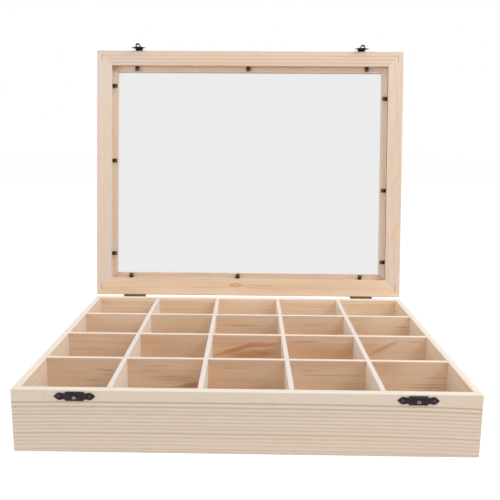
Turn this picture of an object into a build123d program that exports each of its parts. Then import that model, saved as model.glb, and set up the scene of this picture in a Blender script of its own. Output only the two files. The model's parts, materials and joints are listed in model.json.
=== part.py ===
"""Mineral specimen box: a compartment tray with a glazed, hinged lid and two front latches.

Frame: millimetres, +X to the right, +Y to the hinge side, +Z up. The origin is the centre
of the underside. The lid is drawn as if it were shut, and each of its drawing planes is then
swung about the hinge line, so every lid piece comes out in its open place.
"""

import os

from build123d import *

os.makedirs("parts", exist_ok=True)

# ---------------------------------------------------------------- driving dimensions
# Tray
box_width = 400.0
box_depth = 320.0
box_height = 57.0
wall = 7.0
corner_radius = 1.2
edge_chamfer = 0.8
bottom_thickness = 4.0
bottom_rebate = 3.5
bottom_clearance = 0.2

# Divider grid
columns = 5
rows = 4
divider_thickness = 4.5
divider_drop = 0.2
divider_chamfer = 0.4
groove_depth = 2.5
groove_clearance = 0.15
groove_stop = 3.0
lap_clearance = 0.15

# Brads that hold the bottom board: rectangular wire with a T-head
brad_width = 1.2
brad_breadth = 1.0
brad_head_width = 2.4
brad_head_height = 0.6
brad_length = 16.0
brad_recess = 0.2
brad_bore_spare = 1.0

# Lid frame and glass. A mitre cut runs in to mitre_reach times the width of its member.
lid_open_angle = 99.0
lid_gap = 0.4
lid_thickness = 15.0
front_rail_width = 19.0
back_rail_width = 22.2
stile_width = 19.4
mitre_reach = 1.6
lip_width = 7.0
glass_thickness = 2.0
glass_recess = 5.0
glass_clearance = 0.5

# Glazing tabs: flat steel points driven into the rebate wall
tab_width = 5.0
tab_reach = 6.2
tab_bite = 4.0
tab_thickness = 0.5
tab_clearance = 0.05

# V-nails across the lid's mitres
v_nail_inset = 6.5
v_nail_leg = 8.0
v_nail_thickness = 0.5
v_nail_depth = 7.0
v_nail_recess = 0.1

# Hinges
hinge_inset = 50.7
hinge_length = 28.6
middle_knuckle = 9.6
leaf_height = 12.0
leaf_thickness = 0.8
knuckle_radius = 1.4
knuckle_gap = 0.3
hinge_pin_radius = 0.6
pin_clearance = 0.05
hinge_pin_spare = 0.4
stop_lug_width = 8.0
stop_lug_thickness = 1.2
stop_gap = 0.08

# Countersunk screws of the hinges, and square-cut nails of the latches
screw_spacing = 17.0
screw_drop = 7.4
screw_head_radius = 1.7
screw_head_taper = 45.0
screw_sides = 16
screw_length = 5.2
nail_width = 0.9
nail_head_radius = 1.0
nail_head_height = 0.45
nail_head_taper = 55.0
nail_sides = 12
nail_length = 5.0
fastener_clearance = 0.05

# Catch plates on the tray and latch plates on the lid
latch_inset = 54.8
plate_length = 35.2
plate_body_length = 16.3
plate_height = 8.1
plate_neck_height = 5.2
plate_lobe_height = 6.6
plate_thickness = 0.8
plate_corner_cut = 0.6
plate_waist_run = 0.6
plate_lobe_shift = 0.4
nail_spacing = 26.4
catch_plate_drop = 1.8

# Hook on the catch plate
hook_drop = 6.6
hook_width = 3.0
hook_thickness = 0.7
hook_bend_radius = 1.3
hook_stand_off = 0.6

# Swinging tongue of each latch
pin_above_lid_face = 3.0
latch_pin_radius = 0.6
latch_pin_spare = 0.4
tongue_knuckle = 4.6
latch_knuckle = 2.1
latch_knuckle_gap = 0.2
tongue_thickness = 0.8
tongue_clearance = 0.3
tongue_neck_width = 8.0
wing_span = 18.4
wing_drop = 5.2
slot_width = 4.2
slot_height = 4.8
tongue_tip_width = 6.4
tongue_tip_drop = 12.9
lip_bend_radius = 1.1
left_tongue_lift = 15.0
right_tongue_lift = 11.0

# ---------------------------------------------------------------- derived places
half_width = box_width / 2
half_depth = box_depth / 2
inner_width = box_width - 2 * wall
inner_depth = box_depth - 2 * wall
bottom_width = inner_width + 2 * bottom_rebate
bottom_depth = inner_depth + 2 * bottom_rebate
divider_height = box_height - bottom_thickness - divider_drop
tenon_height = divider_height - groove_stop
groove_width = divider_thickness + 2 * groove_clearance
column_pitch = (inner_width + divider_thickness) / columns
row_pitch = (inner_depth + divider_thickness) / rows
column_centres = [(i - columns / 2) * column_pitch for i in range(1, columns)]
row_centres = [(i - rows / 2) * row_pitch for i in range(1, rows)]

lid_face = box_height + lid_gap
member_widths = (stile_width, front_rail_width, back_rail_width)
rebate_depth = glass_recess + glass_thickness
rebate_width = box_width - 2 * stile_width
rebate_length = box_depth - front_rail_width - back_rail_width
rebate_centre = (0, (front_rail_width - back_rail_width) / 2)
opening_width = rebate_width - 2 * lip_width
opening_length = rebate_length - 2 * lip_width

hinge_y = half_depth + knuckle_radius + knuckle_gap
hinge_z = box_height + lid_gap / 2
hinge_bore_radius = hinge_pin_radius + pin_clearance
end_knuckle = (hinge_length - middle_knuckle) / 2 - knuckle_gap
stop_lug_inner = knuckle_radius + knuckle_gap
stop_lug_outer = stop_lug_inner + stop_lug_thickness

latch_pin_y = -(half_depth + knuckle_radius + knuckle_gap)
latch_pin_z = lid_face + pin_above_lid_face
latch_bore_radius = latch_pin_radius + pin_clearance
barrel_length = tongue_knuckle + 2 * (latch_knuckle + latch_knuckle_gap)
catch_plate_z = box_height - catch_plate_drop - plate_height / 2
latch_plate_z = latch_pin_z - latch_knuckle_gap + plate_height / 2
hook_z = box_height - hook_drop
tongue_back_y = -(half_depth + plate_thickness + tongue_clearance)

latch_centres = {"left": latch_inset - half_width, "right": half_width - latch_inset}
hinge_centres = {"left": hinge_inset - half_width, "right": half_width - hinge_inset}
nail_offsets = (-nail_spacing / 2, nail_spacing / 2)
nail_hole = nail_width + 2 * fastener_clearance
screw_offsets = (-screw_spacing / 2, screw_spacing / 2)


# ---------------------------------------------------------------- swinging planes
def swing_about(line_y: float, line_z: float, angle: float) -> Location:
    """Turn about a line along X. A negative angle opens what is drawn shut."""
    return Pos(0, line_y, line_z) * Rot(angle, 0, 0) * Pos(0, -line_y, -line_z)


def carried(swing: Location, plane: Plane) -> Plane:
    """A drawing plane of the shut box, carried along by a swing."""
    return Plane(swing * plane.location)


lid_swing = swing_about(hinge_y, hinge_z, -lid_open_angle)


def on_lid(plane: Plane) -> Plane:
    """A drawing plane of the shut lid, carried to the open lid."""
    return carried(lid_swing, plane)


def on_tray(plane: Plane) -> Plane:
    """A drawing plane of the tray, which stays where it is."""
    return plane


# ---------------------------------------------------------------- shared outlines
side_corners = {
    "front": ((-1, -1), (1, -1)),
    "back": ((1, 1), (-1, 1)),
    "left": ((-1, 1), (-1, -1)),
    "right": ((1, -1), (1, 1)),
}


def mitred_side(side: str, across: float, front: float, back: float) -> list:
    """Plan corners of one side of a frame, with a mitre from each outer corner inwards."""
    outer = []
    inner = []
    for sx, sy in side_corners[side]:
        outer.append((sx * half_width, sy * half_depth))
        inner.append((sx * (half_width - across), sy * (half_depth - (front if sy < 0 else back))))
    return [*outer, *reversed(inner)]


def brad_places(side: str) -> list:
    """Brads stand in the wall above the rebate, at the middle of every outer compartment."""
    from_edge = wall - bottom_rebate / 2
    if side in ("front", "back"):
        y = (half_depth - from_edge) * (1 if side == "back" else -1)
        return [Location(((i - (columns - 1) / 2) * column_pitch, y, 0)) for i in range(columns)]
    x = (half_width - from_edge) * (1 if side == "right" else -1)
    turn = (0, 0, 90)
    return [Location((x, (i - (rows - 1) / 2) * row_pitch, 0), turn) for i in range(rows)]


def draw_brads(width: float, growth: float) -> Sketch:
    """Sections of all the brads, across their shanks or their heads."""
    with BuildSketch() as sections:
        for side in side_corners:
            with Locations(*brad_places(side)):
                Rectangle(width + 2 * growth, brad_breadth + 2 * growth)
    return sections.sketch


tab_places = {
    "front": [(-half_width + 52.0, 90), (-2.0, 90), (half_width - 47.0, 90)],
    "back": [(-half_width + 45.0, -90), (-13.5, -90), (half_width - 52.0, -90)],
    "left": [(-half_depth + 45.0, 0), (-17.0, 0), (half_depth - 54.5, 0)],
    "right": [(-half_depth + 60.0, 180), (20.0, 180), (half_depth - 45.5, 180)],
}


def tab_locations(side: str) -> list:
    """Where each tab leaves the rebate wall, turned so that its +X points over the glass."""
    spots = []
    for along, turn in tab_places[side]:
        if side == "front":
            place = (along, front_rail_width - half_depth, 0)
        elif side == "back":
            place = (along, half_depth - back_rail_width, 0)
        else:
            place = (rebate_width / 2 * (1 if side == "right" else -1), along, 0)
        spots.append(Location(place, (0, 0, turn)))
    return spots


def draw_tab(growth: float) -> Sketch:
    """A glazing tab: a flat strip with a point that is driven into the wood."""
    half = tab_width / 2 + growth
    with BuildSketch() as tab:
        with BuildLine():
            Polyline(
                (tab_reach + growth, -half),
                (tab_reach + growth, half),
                (-tab_bite / 2, half),
                (-tab_bite - growth, 0),
                (-tab_bite / 2, -half),
                close=True,
            )
        make_face()
    return tab.sketch


def draw_v_nails(growth: float) -> Sketch:
    """The four V-nails of the lid, with each vertex on a mitre and one leg in each member."""
    thick = v_nail_thickness + 2 * growth
    leg = v_nail_leg + 2 * growth
    with BuildSketch() as nails:
        for sx in (-1, 1):
            for sy, rail_width in ((-1, front_rail_width), (1, back_rail_width)):
                vertex_x = sx * (half_width - v_nail_inset)
                vertex_y = sy * (half_depth - v_nail_inset * rail_width / stile_width)
                reach = (v_nail_leg - v_nail_thickness) / 2
                with Locations((vertex_x - sx * reach, vertex_y)):
                    Rectangle(leg, thick)
                with Locations((vertex_x, vertex_y - sy * reach)):
                    Rectangle(thick, leg)
    return nails.sketch


def draw_fleur_plate() -> Sketch:
    """Outline of a pressed plate: a block in the middle, a waist, a lobe and a pointed tip."""
    tip = plate_length / 2
    block = plate_body_length / 2
    waist = plate_neck_height / 2
    lobe = plate_lobe_height / 2
    shoulder = block + plate_waist_run
    crest = (block + tip) / 2 + plate_lobe_shift
    with BuildSketch() as outline:
        Rectangle(plate_body_length, plate_height)
        chamfer(outline.vertices(), plate_corner_cut)
        for side in (-1, 1):
            for top in (-1, 1):
                with BuildLine():
                    Line((0, 0), (0, top * waist))
                    Line((0, top * waist), (side * shoulder, top * waist))
                    TangentArc((side * shoulder, top * waist), (side * crest, top * lobe),
                               tangent=(-side, 0), tangent_from_first=False)
                    TangentArc((side * crest, top * lobe), (side * tip, 0), tangent=(side, 0))
                    Line((side * tip, 0), (0, 0))
                make_face()
        with Locations(*[(x, 0) for x in nail_offsets]):
            Rectangle(nail_hole, nail_hole, mode=Mode.SUBTRACT)
    return outline.sketch


fleur_outline = draw_fleur_plate()


def draw_screw(growth: float) -> Part:
    """A countersunk screw, whose shank goes on from the small end of its head.

    Its flat face is at the origin and +Z is the way in.
    """
    with BuildPart() as screw:
        with BuildSketch():
            RegularPolygon(screw_head_radius + growth, screw_sides)
        extrude(amount=leaf_thickness, taper=screw_head_taper)
        extrude(screw.faces().sort_by(Axis.Z)[-1], amount=screw_length + growth)
    return screw.part


def draw_nail() -> Part:
    """A square-cut nail with a low head. The plate's face is at the origin, +Z is the way out."""
    with BuildPart() as nail:
        with BuildSketch():
            RegularPolygon(nail_head_radius, nail_sides)
        extrude(amount=nail_head_height, taper=nail_head_taper)
        with BuildSketch():
            Rectangle(nail_width, nail_width)
        extrude(amount=-(plate_thickness + nail_length))
    return nail.part


def draw_nail_bore() -> Part:
    """What a nail needs in the wood. The wood's face is at the origin, +Z is the way out."""
    with BuildPart() as bore:
        with BuildSketch():
            Rectangle(nail_hole, nail_hole)
        extrude(amount=-(nail_length + fastener_clearance))
    return bore.part


screw = draw_screw(0)
screw_bore = draw_screw(fastener_clearance)
nail = draw_nail()
nail_bore = draw_nail_bore()


# ---------------------------------------------------------------- the tray
def make_wall(side: str, bores: list) -> Part:
    """One mitred wall: rounded corners, rebate for the bottom, grooves for the dividers."""
    with BuildPart() as panel:
        with BuildSketch():
            RectangleRounded(box_width, box_depth, corner_radius)
            Rectangle(inner_width, inner_depth, mode=Mode.SUBTRACT)
        extrude(amount=box_height)
        chamfer(panel.faces().sort_by(Axis.Z)[-1].edges(), edge_chamfer)
        chamfer(panel.faces().sort_by(Axis.Z)[0].outer_wire().edges(), edge_chamfer)
        with BuildSketch():
            Rectangle(bottom_width, bottom_depth)
        extrude(amount=bottom_thickness, mode=Mode.SUBTRACT)
        with BuildSketch(Plane.XY.offset(bottom_thickness)):
            with Locations(*[(x, 0) for x in column_centres]):
                Rectangle(groove_width, inner_depth + 2 * groove_depth)
            with Locations(*[(0, y) for y in row_centres]):
                Rectangle(inner_width + 2 * groove_depth, groove_width)
        extrude(amount=tenon_height + groove_clearance, mode=Mode.SUBTRACT)
        with BuildSketch(Plane.XY.offset(bottom_thickness)):
            add(draw_brads(brad_width, fastener_clearance))
        extrude(amount=brad_length - bottom_thickness + brad_bore_spare, mode=Mode.SUBTRACT)
        for bore, spot in bores:
            with Locations(spot):
                add(bore, mode=Mode.SUBTRACT)
        with BuildSketch():
            with BuildLine():
                Polyline(*mitred_side(side, 2 * wall, 2 * wall, 2 * wall), close=True)
            make_face()
        extrude(amount=box_height, mode=Mode.INTERSECT)
    return panel.part


def make_bottom_panel() -> Part:
    """The bottom board, let into the walls, with a countersink for each brad."""
    with BuildPart() as board:
        with BuildSketch():
            Rectangle(bottom_width - 2 * bottom_clearance, bottom_depth - 2 * bottom_clearance)
        extrude(amount=bottom_thickness)
        with BuildSketch():
            add(draw_brads(brad_width, fastener_clearance))
        extrude(amount=bottom_thickness, mode=Mode.SUBTRACT)
        with BuildSketch():
            add(draw_brads(brad_head_width, fastener_clearance))
        extrude(amount=brad_recess + brad_head_height, mode=Mode.SUBTRACT)
    return board.part


def make_bottom_brads() -> Part:
    """All the brads that hold the bottom board to the walls."""
    with BuildPart() as brads:
        with BuildSketch(Plane.XY.offset(brad_recess)):
            add(draw_brads(brad_width, 0))
        extrude(amount=brad_length)
        with BuildSketch(Plane.XY.offset(brad_recess)):
            add(draw_brads(brad_head_width, 0))
        extrude(amount=brad_head_height)
    return brads.part


def make_divider(plane: Plane, length: float, crossings: list, notch_on_top: bool) -> Part:
    """A divider strip, shouldered at its ends, with half-lap notches for the other family."""
    lap_level = divider_height / 2
    notch_width = divider_thickness + 2 * lap_clearance
    notch_height = lap_level + lap_clearance
    with BuildPart() as strip:
        with BuildSketch(plane):
            with Locations((0, bottom_thickness)):
                Rectangle(length, tenon_height, align=(Align.CENTER, Align.MIN))
                Rectangle(length - 2 * groove_depth, divider_height, align=(Align.CENTER, Align.MIN))
            if notch_on_top:
                notch_z = bottom_thickness + divider_height
                notch_align = (Align.CENTER, Align.MAX)
            else:
                notch_z = bottom_thickness
                notch_align = (Align.CENTER, Align.MIN)
            with Locations(*[(at, notch_z) for at in crossings]):
                Rectangle(notch_width, notch_height, align=notch_align, mode=Mode.SUBTRACT)
        extrude(amount=divider_thickness / 2, both=True)
        long_edges = strip.edges().filter_by(Axis(plane.origin, plane.x_dir))
        chamfer(long_edges.group_by(Axis.Z)[-1], divider_chamfer)
    return strip.part


# ---------------------------------------------------------------- the lid
lid_out = Axis((0, 0, 0), on_lid(Plane.XY).z_dir)


def make_lid_member(side: str, bores: list) -> Part:
    """One mitred rail or stile, rebated for the glass, with slots for its tabs and V-nails."""
    face = on_lid(Plane.XY.offset(lid_face))
    tab_level = on_lid(Plane.XY.offset(lid_face + glass_recess - tab_thickness - tab_clearance))
    with BuildPart() as member:
        with BuildSketch(face):
            RectangleRounded(box_width, box_depth, corner_radius)
            with Locations(rebate_centre):
                Rectangle(opening_width, opening_length, mode=Mode.SUBTRACT)
        extrude(amount=lid_thickness)
        chamfer(member.faces().sort_by(lid_out)[-1].edges(), edge_chamfer)
        chamfer(member.faces().sort_by(lid_out)[0].outer_wire().edges(), edge_chamfer)
        with BuildSketch(face):
            with Locations(rebate_centre):
                Rectangle(rebate_width, rebate_length)
        extrude(amount=rebate_depth, mode=Mode.SUBTRACT)
        with BuildSketch(tab_level):
            with Locations(*tab_locations(side)):
                add(draw_tab(tab_clearance))
        extrude(amount=tab_thickness + 2 * tab_clearance, mode=Mode.SUBTRACT)
        with BuildSketch(face):
            add(draw_v_nails(tab_clearance))
        extrude(amount=v_nail_depth + 2 * v_nail_recess, mode=Mode.SUBTRACT)
        for bore, spot in bores:
            with Locations(spot):
                add(bore, mode=Mode.SUBTRACT)
        with BuildSketch(face):
            with BuildLine():
                Polyline(*mitred_side(side, *[mitre_reach * width for width in member_widths]), close=True)
            make_face()
        extrude(amount=lid_thickness, mode=Mode.INTERSECT)
    return member.part


def make_glass_pane() -> Part:
    """The pane, bedded on the lip of the lid frame."""
    with BuildPart() as pane:
        with BuildSketch(on_lid(Plane.XY.offset(lid_face + glass_recess))):
            with Locations(rebate_centre):
                Rectangle(rebate_width - 2 * glass_clearance, rebate_length - 2 * glass_clearance)
        extrude(amount=glass_thickness)
    return pane.part


def make_glazing_tabs() -> Part:
    """The twelve tabs that hold the pane, flat on the glass."""
    with BuildPart() as tabs:
        with BuildSketch(on_lid(Plane.XY.offset(lid_face + glass_recess - tab_thickness))):
            for side in side_corners:
                with Locations(*tab_locations(side)):
                    add(draw_tab(0))
        extrude(amount=tab_thickness)
    return tabs.part


def make_corner_v_nails() -> Part:
    """The V-nails, just below the lid's inner face."""
    with BuildPart() as nails:
        with BuildSketch(on_lid(Plane.XY.offset(lid_face + v_nail_recess))):
            add(draw_v_nails(0))
        extrude(amount=v_nail_depth)
    return nails.part


# ---------------------------------------------------------------- hinges
def screw_places(carry, centre_x: float, direction: int) -> list:
    """Where the screws of a leaf lie flush in it, below (-1) or above (+1) the hinge line."""
    face = carry(Plane.XZ.offset(-(half_depth + leaf_thickness)))
    return [face.location * Pos(centre_x + dx, hinge_z + direction * screw_drop) for dx in screw_offsets]


def make_box_leaf(centre_x: float) -> Part:
    """Leaf on the back wall, with the two end knuckles and the lug that stops the lid."""
    lug_plane = Plane.YZ.offset(centre_x - stop_lug_width / 2)
    stop_plane = on_lid(Plane.XZ.offset(-(half_depth + leaf_thickness + stop_gap)))
    with BuildPart() as leaf:
        with BuildSketch(lug_plane):
            with Locations((hinge_y, hinge_z)):
                Circle(stop_lug_outer)
                Circle(stop_lug_inner, mode=Mode.SUBTRACT)
            with Locations((hinge_y, hinge_z - knuckle_radius)):
                Rectangle(2 * stop_lug_outer, 4 * stop_lug_outer,
                          align=(Align.MAX, Align.MIN), mode=Mode.SUBTRACT)
            with Locations((half_depth, hinge_z)):
                Rectangle(2 * stop_lug_outer, 4 * stop_lug_outer,
                          align=(Align.MAX, Align.CENTER), mode=Mode.SUBTRACT)
        extrude(amount=stop_lug_width)
        split(bisect_by=stop_plane, keep=Keep.BOTTOM)
        with BuildSketch(Plane.XZ.offset(-half_depth)):
            with Locations((centre_x, hinge_z)):
                Rectangle(hinge_length, leaf_height, align=(Align.CENTER, Align.MAX))
                Rectangle(middle_knuckle + 2 * knuckle_gap, stop_lug_inner,
                          align=(Align.CENTER, Align.MAX), mode=Mode.SUBTRACT)
        extrude(amount=-leaf_thickness)
        with Locations(*screw_places(on_tray, centre_x, -1)):
            add(screw_bore, mode=Mode.SUBTRACT)
        for start in (centre_x - hinge_length / 2, centre_x + hinge_length / 2 - end_knuckle):
            with BuildSketch(Plane.YZ.offset(start)):
                with Locations((hinge_y, hinge_z)):
                    Circle(knuckle_radius)
            extrude(amount=end_knuckle)
        with BuildSketch(Plane.YZ.offset(centre_x)):
            with Locations((hinge_y, hinge_z)):
                Circle(hinge_bore_radius)
        extrude(amount=hinge_length, both=True, mode=Mode.SUBTRACT)
    return leaf.part


def make_lid_leaf(centre_x: float) -> Part:
    """Leaf on the lid's back edge, with the middle knuckle."""
    end_notch = end_knuckle + knuckle_gap
    with BuildPart() as leaf:
        with BuildSketch(on_lid(Plane.XZ.offset(-half_depth))):
            with Locations((centre_x, hinge_z)):
                Rectangle(hinge_length, leaf_height, align=(Align.CENTER, Align.MIN))
            for side in (-1, 1):
                notch_x = centre_x + side * (hinge_length - end_notch) / 2
                with Locations((notch_x, hinge_z)):
                    Rectangle(end_notch, stop_lug_inner,
                              align=(Align.CENTER, Align.MIN), mode=Mode.SUBTRACT)
        extrude(amount=-leaf_thickness)
        with Locations(*screw_places(on_lid, centre_x, 1)):
            add(screw_bore, mode=Mode.SUBTRACT)
        with BuildSketch(on_lid(Plane.YZ.offset(centre_x))):
            with Locations((hinge_y, hinge_z)):
                Circle(knuckle_radius)
        extrude(amount=middle_knuckle / 2, both=True)
        with BuildSketch(on_lid(Plane.YZ.offset(centre_x))):
            with Locations((hinge_y, hinge_z)):
                Circle(hinge_bore_radius)
        extrude(amount=middle_knuckle, both=True, mode=Mode.SUBTRACT)
    return leaf.part


def make_pin(carry, centre: tuple, length: float, radius: float) -> Part:
    """A plain pin along X."""
    centre_x, pin_y, pin_z = centre
    with BuildPart() as pin:
        with BuildSketch(carry(Plane.YZ.offset(centre_x))):
            with Locations((pin_y, pin_z)):
                Circle(radius)
        extrude(amount=length / 2, both=True)
    return pin.part


def make_hinge_screws(carry, direction: int) -> Part:
    """The four screws of one body's hinge leaves."""
    with BuildPart() as screws:
        for centre_x in hinge_centres.values():
            with Locations(*screw_places(carry, centre_x, direction)):
                add(screw)
    return screws.part


# ---------------------------------------------------------------- latches
def make_catch_plate(centre_x: float) -> Part:
    """Pressed plate on the front of the tray, with a slot for the hook's foot."""
    with BuildPart() as plate:
        with BuildSketch(Plane.XZ.offset(half_depth)):
            with Locations((centre_x, catch_plate_z)):
                add(fleur_outline)
            with Locations((centre_x, hook_z + hook_bend_radius - hook_thickness / 2)):
                Rectangle(hook_width + 2 * fastener_clearance,
                          hook_thickness + 2 * fastener_clearance, mode=Mode.SUBTRACT)
        extrude(amount=plate_thickness)
    return plate.part


def make_catch_hook(centre_x: float) -> Part:
    """A strip that leaves the plate, bends forward and curls down."""
    bend_y = -(half_depth + plate_thickness + hook_stand_off)
    with BuildPart() as hook:
        with BuildSketch(Plane.YZ.offset(centre_x)):
            with Locations((bend_y, hook_z)):
                Circle(hook_bend_radius)
                Circle(hook_bend_radius - hook_thickness, mode=Mode.SUBTRACT)
                Rectangle(2 * hook_bend_radius, 3 * hook_bend_radius,
                          align=(Align.MIN, Align.CENTER), mode=Mode.SUBTRACT)
            with Locations((-half_depth, hook_z + hook_bend_radius)):
                Rectangle(plate_thickness + hook_stand_off, hook_thickness,
                          align=(Align.MAX, Align.MAX))
        extrude(amount=hook_width / 2, both=True)
    return hook.part


def make_latch_plate(centre_x: float) -> Part:
    """Pressed plate on the lid's front edge, with the two end knuckles of the latch."""
    with BuildPart() as plate:
        with BuildSketch(on_lid(Plane.XZ.offset(half_depth))):
            with Locations((centre_x, latch_plate_z)):
                add(fleur_outline)
            with Locations((centre_x, latch_pin_z)):
                Rectangle(tongue_knuckle + 2 * latch_knuckle_gap,
                          2 * (knuckle_radius + knuckle_gap), mode=Mode.SUBTRACT)
        extrude(amount=plate_thickness)
        for start in (centre_x - barrel_length / 2, centre_x + barrel_length / 2 - latch_knuckle):
            with BuildSketch(on_lid(Plane.YZ.offset(start))):
                with Locations((latch_pin_y, latch_pin_z)):
                    Circle(knuckle_radius)
            extrude(amount=latch_knuckle)
        with BuildSketch(on_lid(Plane.YZ.offset(centre_x))):
            with Locations((latch_pin_y, latch_pin_z)):
                Circle(latch_bore_radius)
        extrude(amount=barrel_length, both=True, mode=Mode.SUBTRACT)
    return plate.part


def make_tongue(centre_x: float, lift: float) -> Part:
    """Swinging tongue: a knuckle, two pointed wings, a slot for the hook and a curled lip."""
    swing = lid_swing * swing_about(latch_pin_y, latch_pin_z, -lift)
    front = carried(swing, Plane.XZ.offset(-tongue_back_y))
    side = carried(swing, Plane.YZ.offset(centre_x))
    neck_z = latch_pin_z - knuckle_radius - knuckle_gap
    wing_z = latch_pin_z - wing_drop
    tip_z = latch_pin_z - tongue_tip_drop
    lip_y = tongue_back_y - lip_bend_radius
    with BuildPart() as tongue:
        with BuildSketch(front):
            with Locations((centre_x, latch_pin_z)):
                Rectangle(tongue_knuckle, latch_pin_z - wing_z, align=(Align.CENTER, Align.MAX))
            for turn in (-1, 1):
                neck_x = centre_x + turn * tongue_neck_width / 2
                tip_x = centre_x + turn * tongue_tip_width / 2
                wing_x = centre_x + turn * wing_span / 2
                with BuildLine():
                    Line((centre_x, neck_z), (neck_x, neck_z))
                    Spline((neck_x, neck_z), (wing_x, wing_z),
                           tangents=((turn * 0.1, -1), (turn, -0.35)))
                    Spline((wing_x, wing_z), (tip_x, hook_z),
                           tangents=((-turn, -0.25), (-turn * 0.1, -1)))
                    Line((tip_x, hook_z), (tip_x, tip_z))
                    Line((tip_x, tip_z), (centre_x, tip_z))
                    Line((centre_x, tip_z), (centre_x, neck_z))
                make_face()
            with Locations((centre_x, hook_z)):
                Rectangle(slot_width, slot_height, mode=Mode.SUBTRACT)
        extrude(amount=tongue_thickness)
        with BuildSketch(side):
            with Locations((latch_pin_y, latch_pin_z)):
                Circle(knuckle_radius)
        extrude(amount=tongue_knuckle / 2, both=True)
        with BuildSketch(side):
            with Locations((latch_pin_y, latch_pin_z)):
                Circle(latch_bore_radius)
        extrude(amount=tongue_knuckle, both=True, mode=Mode.SUBTRACT)
        with BuildSketch(side):
            with Locations((lip_y, tip_z)):
                Circle(lip_bend_radius)
                Circle(lip_bend_radius - tongue_thickness, mode=Mode.SUBTRACT)
                Rectangle(3 * lip_bend_radius, 2 * lip_bend_radius,
                          align=(Align.CENTER, Align.MIN), mode=Mode.SUBTRACT)
        extrude(amount=tongue_tip_width / 2, both=True)
    return tongue.part


def nail_places(carry, face: float, plate_z: float) -> list:
    """Where the nails of one pair of plates cross a plane that lies in front of the middle."""
    plane = carry(Plane.XZ.offset(face))
    return [plane.location * Pos(x + dx, plate_z) for x in latch_centres.values() for dx in nail_offsets]


def make_plate_nails(carry, plate_z: float) -> Part:
    """The four nails of one pair of plates."""
    with BuildPart() as nails:
        with Locations(*nail_places(carry, half_depth + plate_thickness, plate_z)):
            add(nail)
    return nails.part


# ---------------------------------------------------------------- bores in the wood
def nail_bores(carry, plate_z: float) -> list:
    """Bores for the plate nails, in the front face of a wall or rail."""
    return [(nail_bore, spot) for spot in nail_places(carry, half_depth, plate_z)]


def screw_bores(carry, direction: int) -> list:
    """Bores for the hinge screws, in the back face of a wall or rail."""
    spots = [spot for x in hinge_centres.values() for spot in screw_places(carry, x, direction)]
    return [(screw_bore, spot) for spot in spots]


# ---------------------------------------------------------------- the pieces
pieces = {
    "front_panel": make_wall("front", nail_bores(on_tray, catch_plate_z)),
    "back_panel": make_wall("back", screw_bores(on_tray, -1)),
    "left_panel": make_wall("left", []),
    "right_panel": make_wall("right", []),
    "bottom_panel": make_bottom_panel(),
    "bottom_brads": make_bottom_brads(),
    "lid_front_rail": make_lid_member("front", nail_bores(on_lid, latch_plate_z)),
    "lid_back_rail": make_lid_member("back", screw_bores(on_lid, 1)),
    "lid_left_stile": make_lid_member("left", []),
    "lid_right_stile": make_lid_member("right", []),
    "glass_pane": make_glass_pane(),
    "glazing_tabs": make_glazing_tabs(),
    "corner_v_nails": make_corner_v_nails(),
    "hinge_box_screws": make_hinge_screws(on_tray, -1),
    "hinge_lid_screws": make_hinge_screws(on_lid, 1),
    "catch_nails": make_plate_nails(on_tray, catch_plate_z),
    "latch_nails": make_plate_nails(on_lid, latch_plate_z),
}

column_length = inner_depth + 2 * (groove_depth - groove_clearance)
row_length = inner_width + 2 * (groove_depth - groove_clearance)
for index, x in enumerate(column_centres, start=1):
    strip_plane = Plane.YZ.offset(x)
    pieces[f"column_divider_{index}"] = make_divider(strip_plane, column_length, row_centres, True)
for index, y in enumerate(row_centres, start=1):
    strip_plane = Plane.XZ.offset(-y)
    pieces[f"row_divider_{index}"] = make_divider(strip_plane, row_length, column_centres, False)

for side, x in hinge_centres.items():
    pieces[f"{side}_hinge_box_leaf"] = make_box_leaf(x)
    pieces[f"{side}_hinge_lid_leaf"] = make_lid_leaf(x)
    pieces[f"{side}_hinge_pin"] = make_pin(
        on_tray, (x, hinge_y, hinge_z), hinge_length + 2 * hinge_pin_spare, hinge_pin_radius
    )

for side, x in latch_centres.items():
    lift = left_tongue_lift if side == "left" else right_tongue_lift
    pieces[f"{side}_catch_plate"] = make_catch_plate(x)
    pieces[f"{side}_catch_hook"] = make_catch_hook(x)
    pieces[f"{side}_latch_plate"] = make_latch_plate(x)
    pieces[f"{side}_latch_pin"] = make_pin(
        on_lid, (x, latch_pin_y, latch_pin_z), barrel_length + 2 * latch_pin_spare, latch_pin_radius
    )
    pieces[f"{side}_latch_tongue"] = make_tongue(x, lift)

for name, piece in pieces.items():
    piece.label = name
    export_step(piece, f"parts/{name}.step")
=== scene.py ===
"""Mineral specimen box in bare pine, with a glazed lid and blackened latches.

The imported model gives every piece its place. The wooden pieces keep their solids and get a
wood grain that runs through them; the metalwork is rebuilt from rolled and pressed sheet.
Lengths are in millimetres until a mesh is written, and the box is described as it lies shut:
whatever belongs to the lid is then turned about the hinge line to where the lid stands.
"""

import json
import logging
import math
from collections.abc import Callable, Sequence
from dataclasses import dataclass, field
from enum import Enum
from functools import cache, reduce
from itertools import product
from typing import Protocol

import bmesh
import bpy
from mathutils import Matrix, Vector


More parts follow.
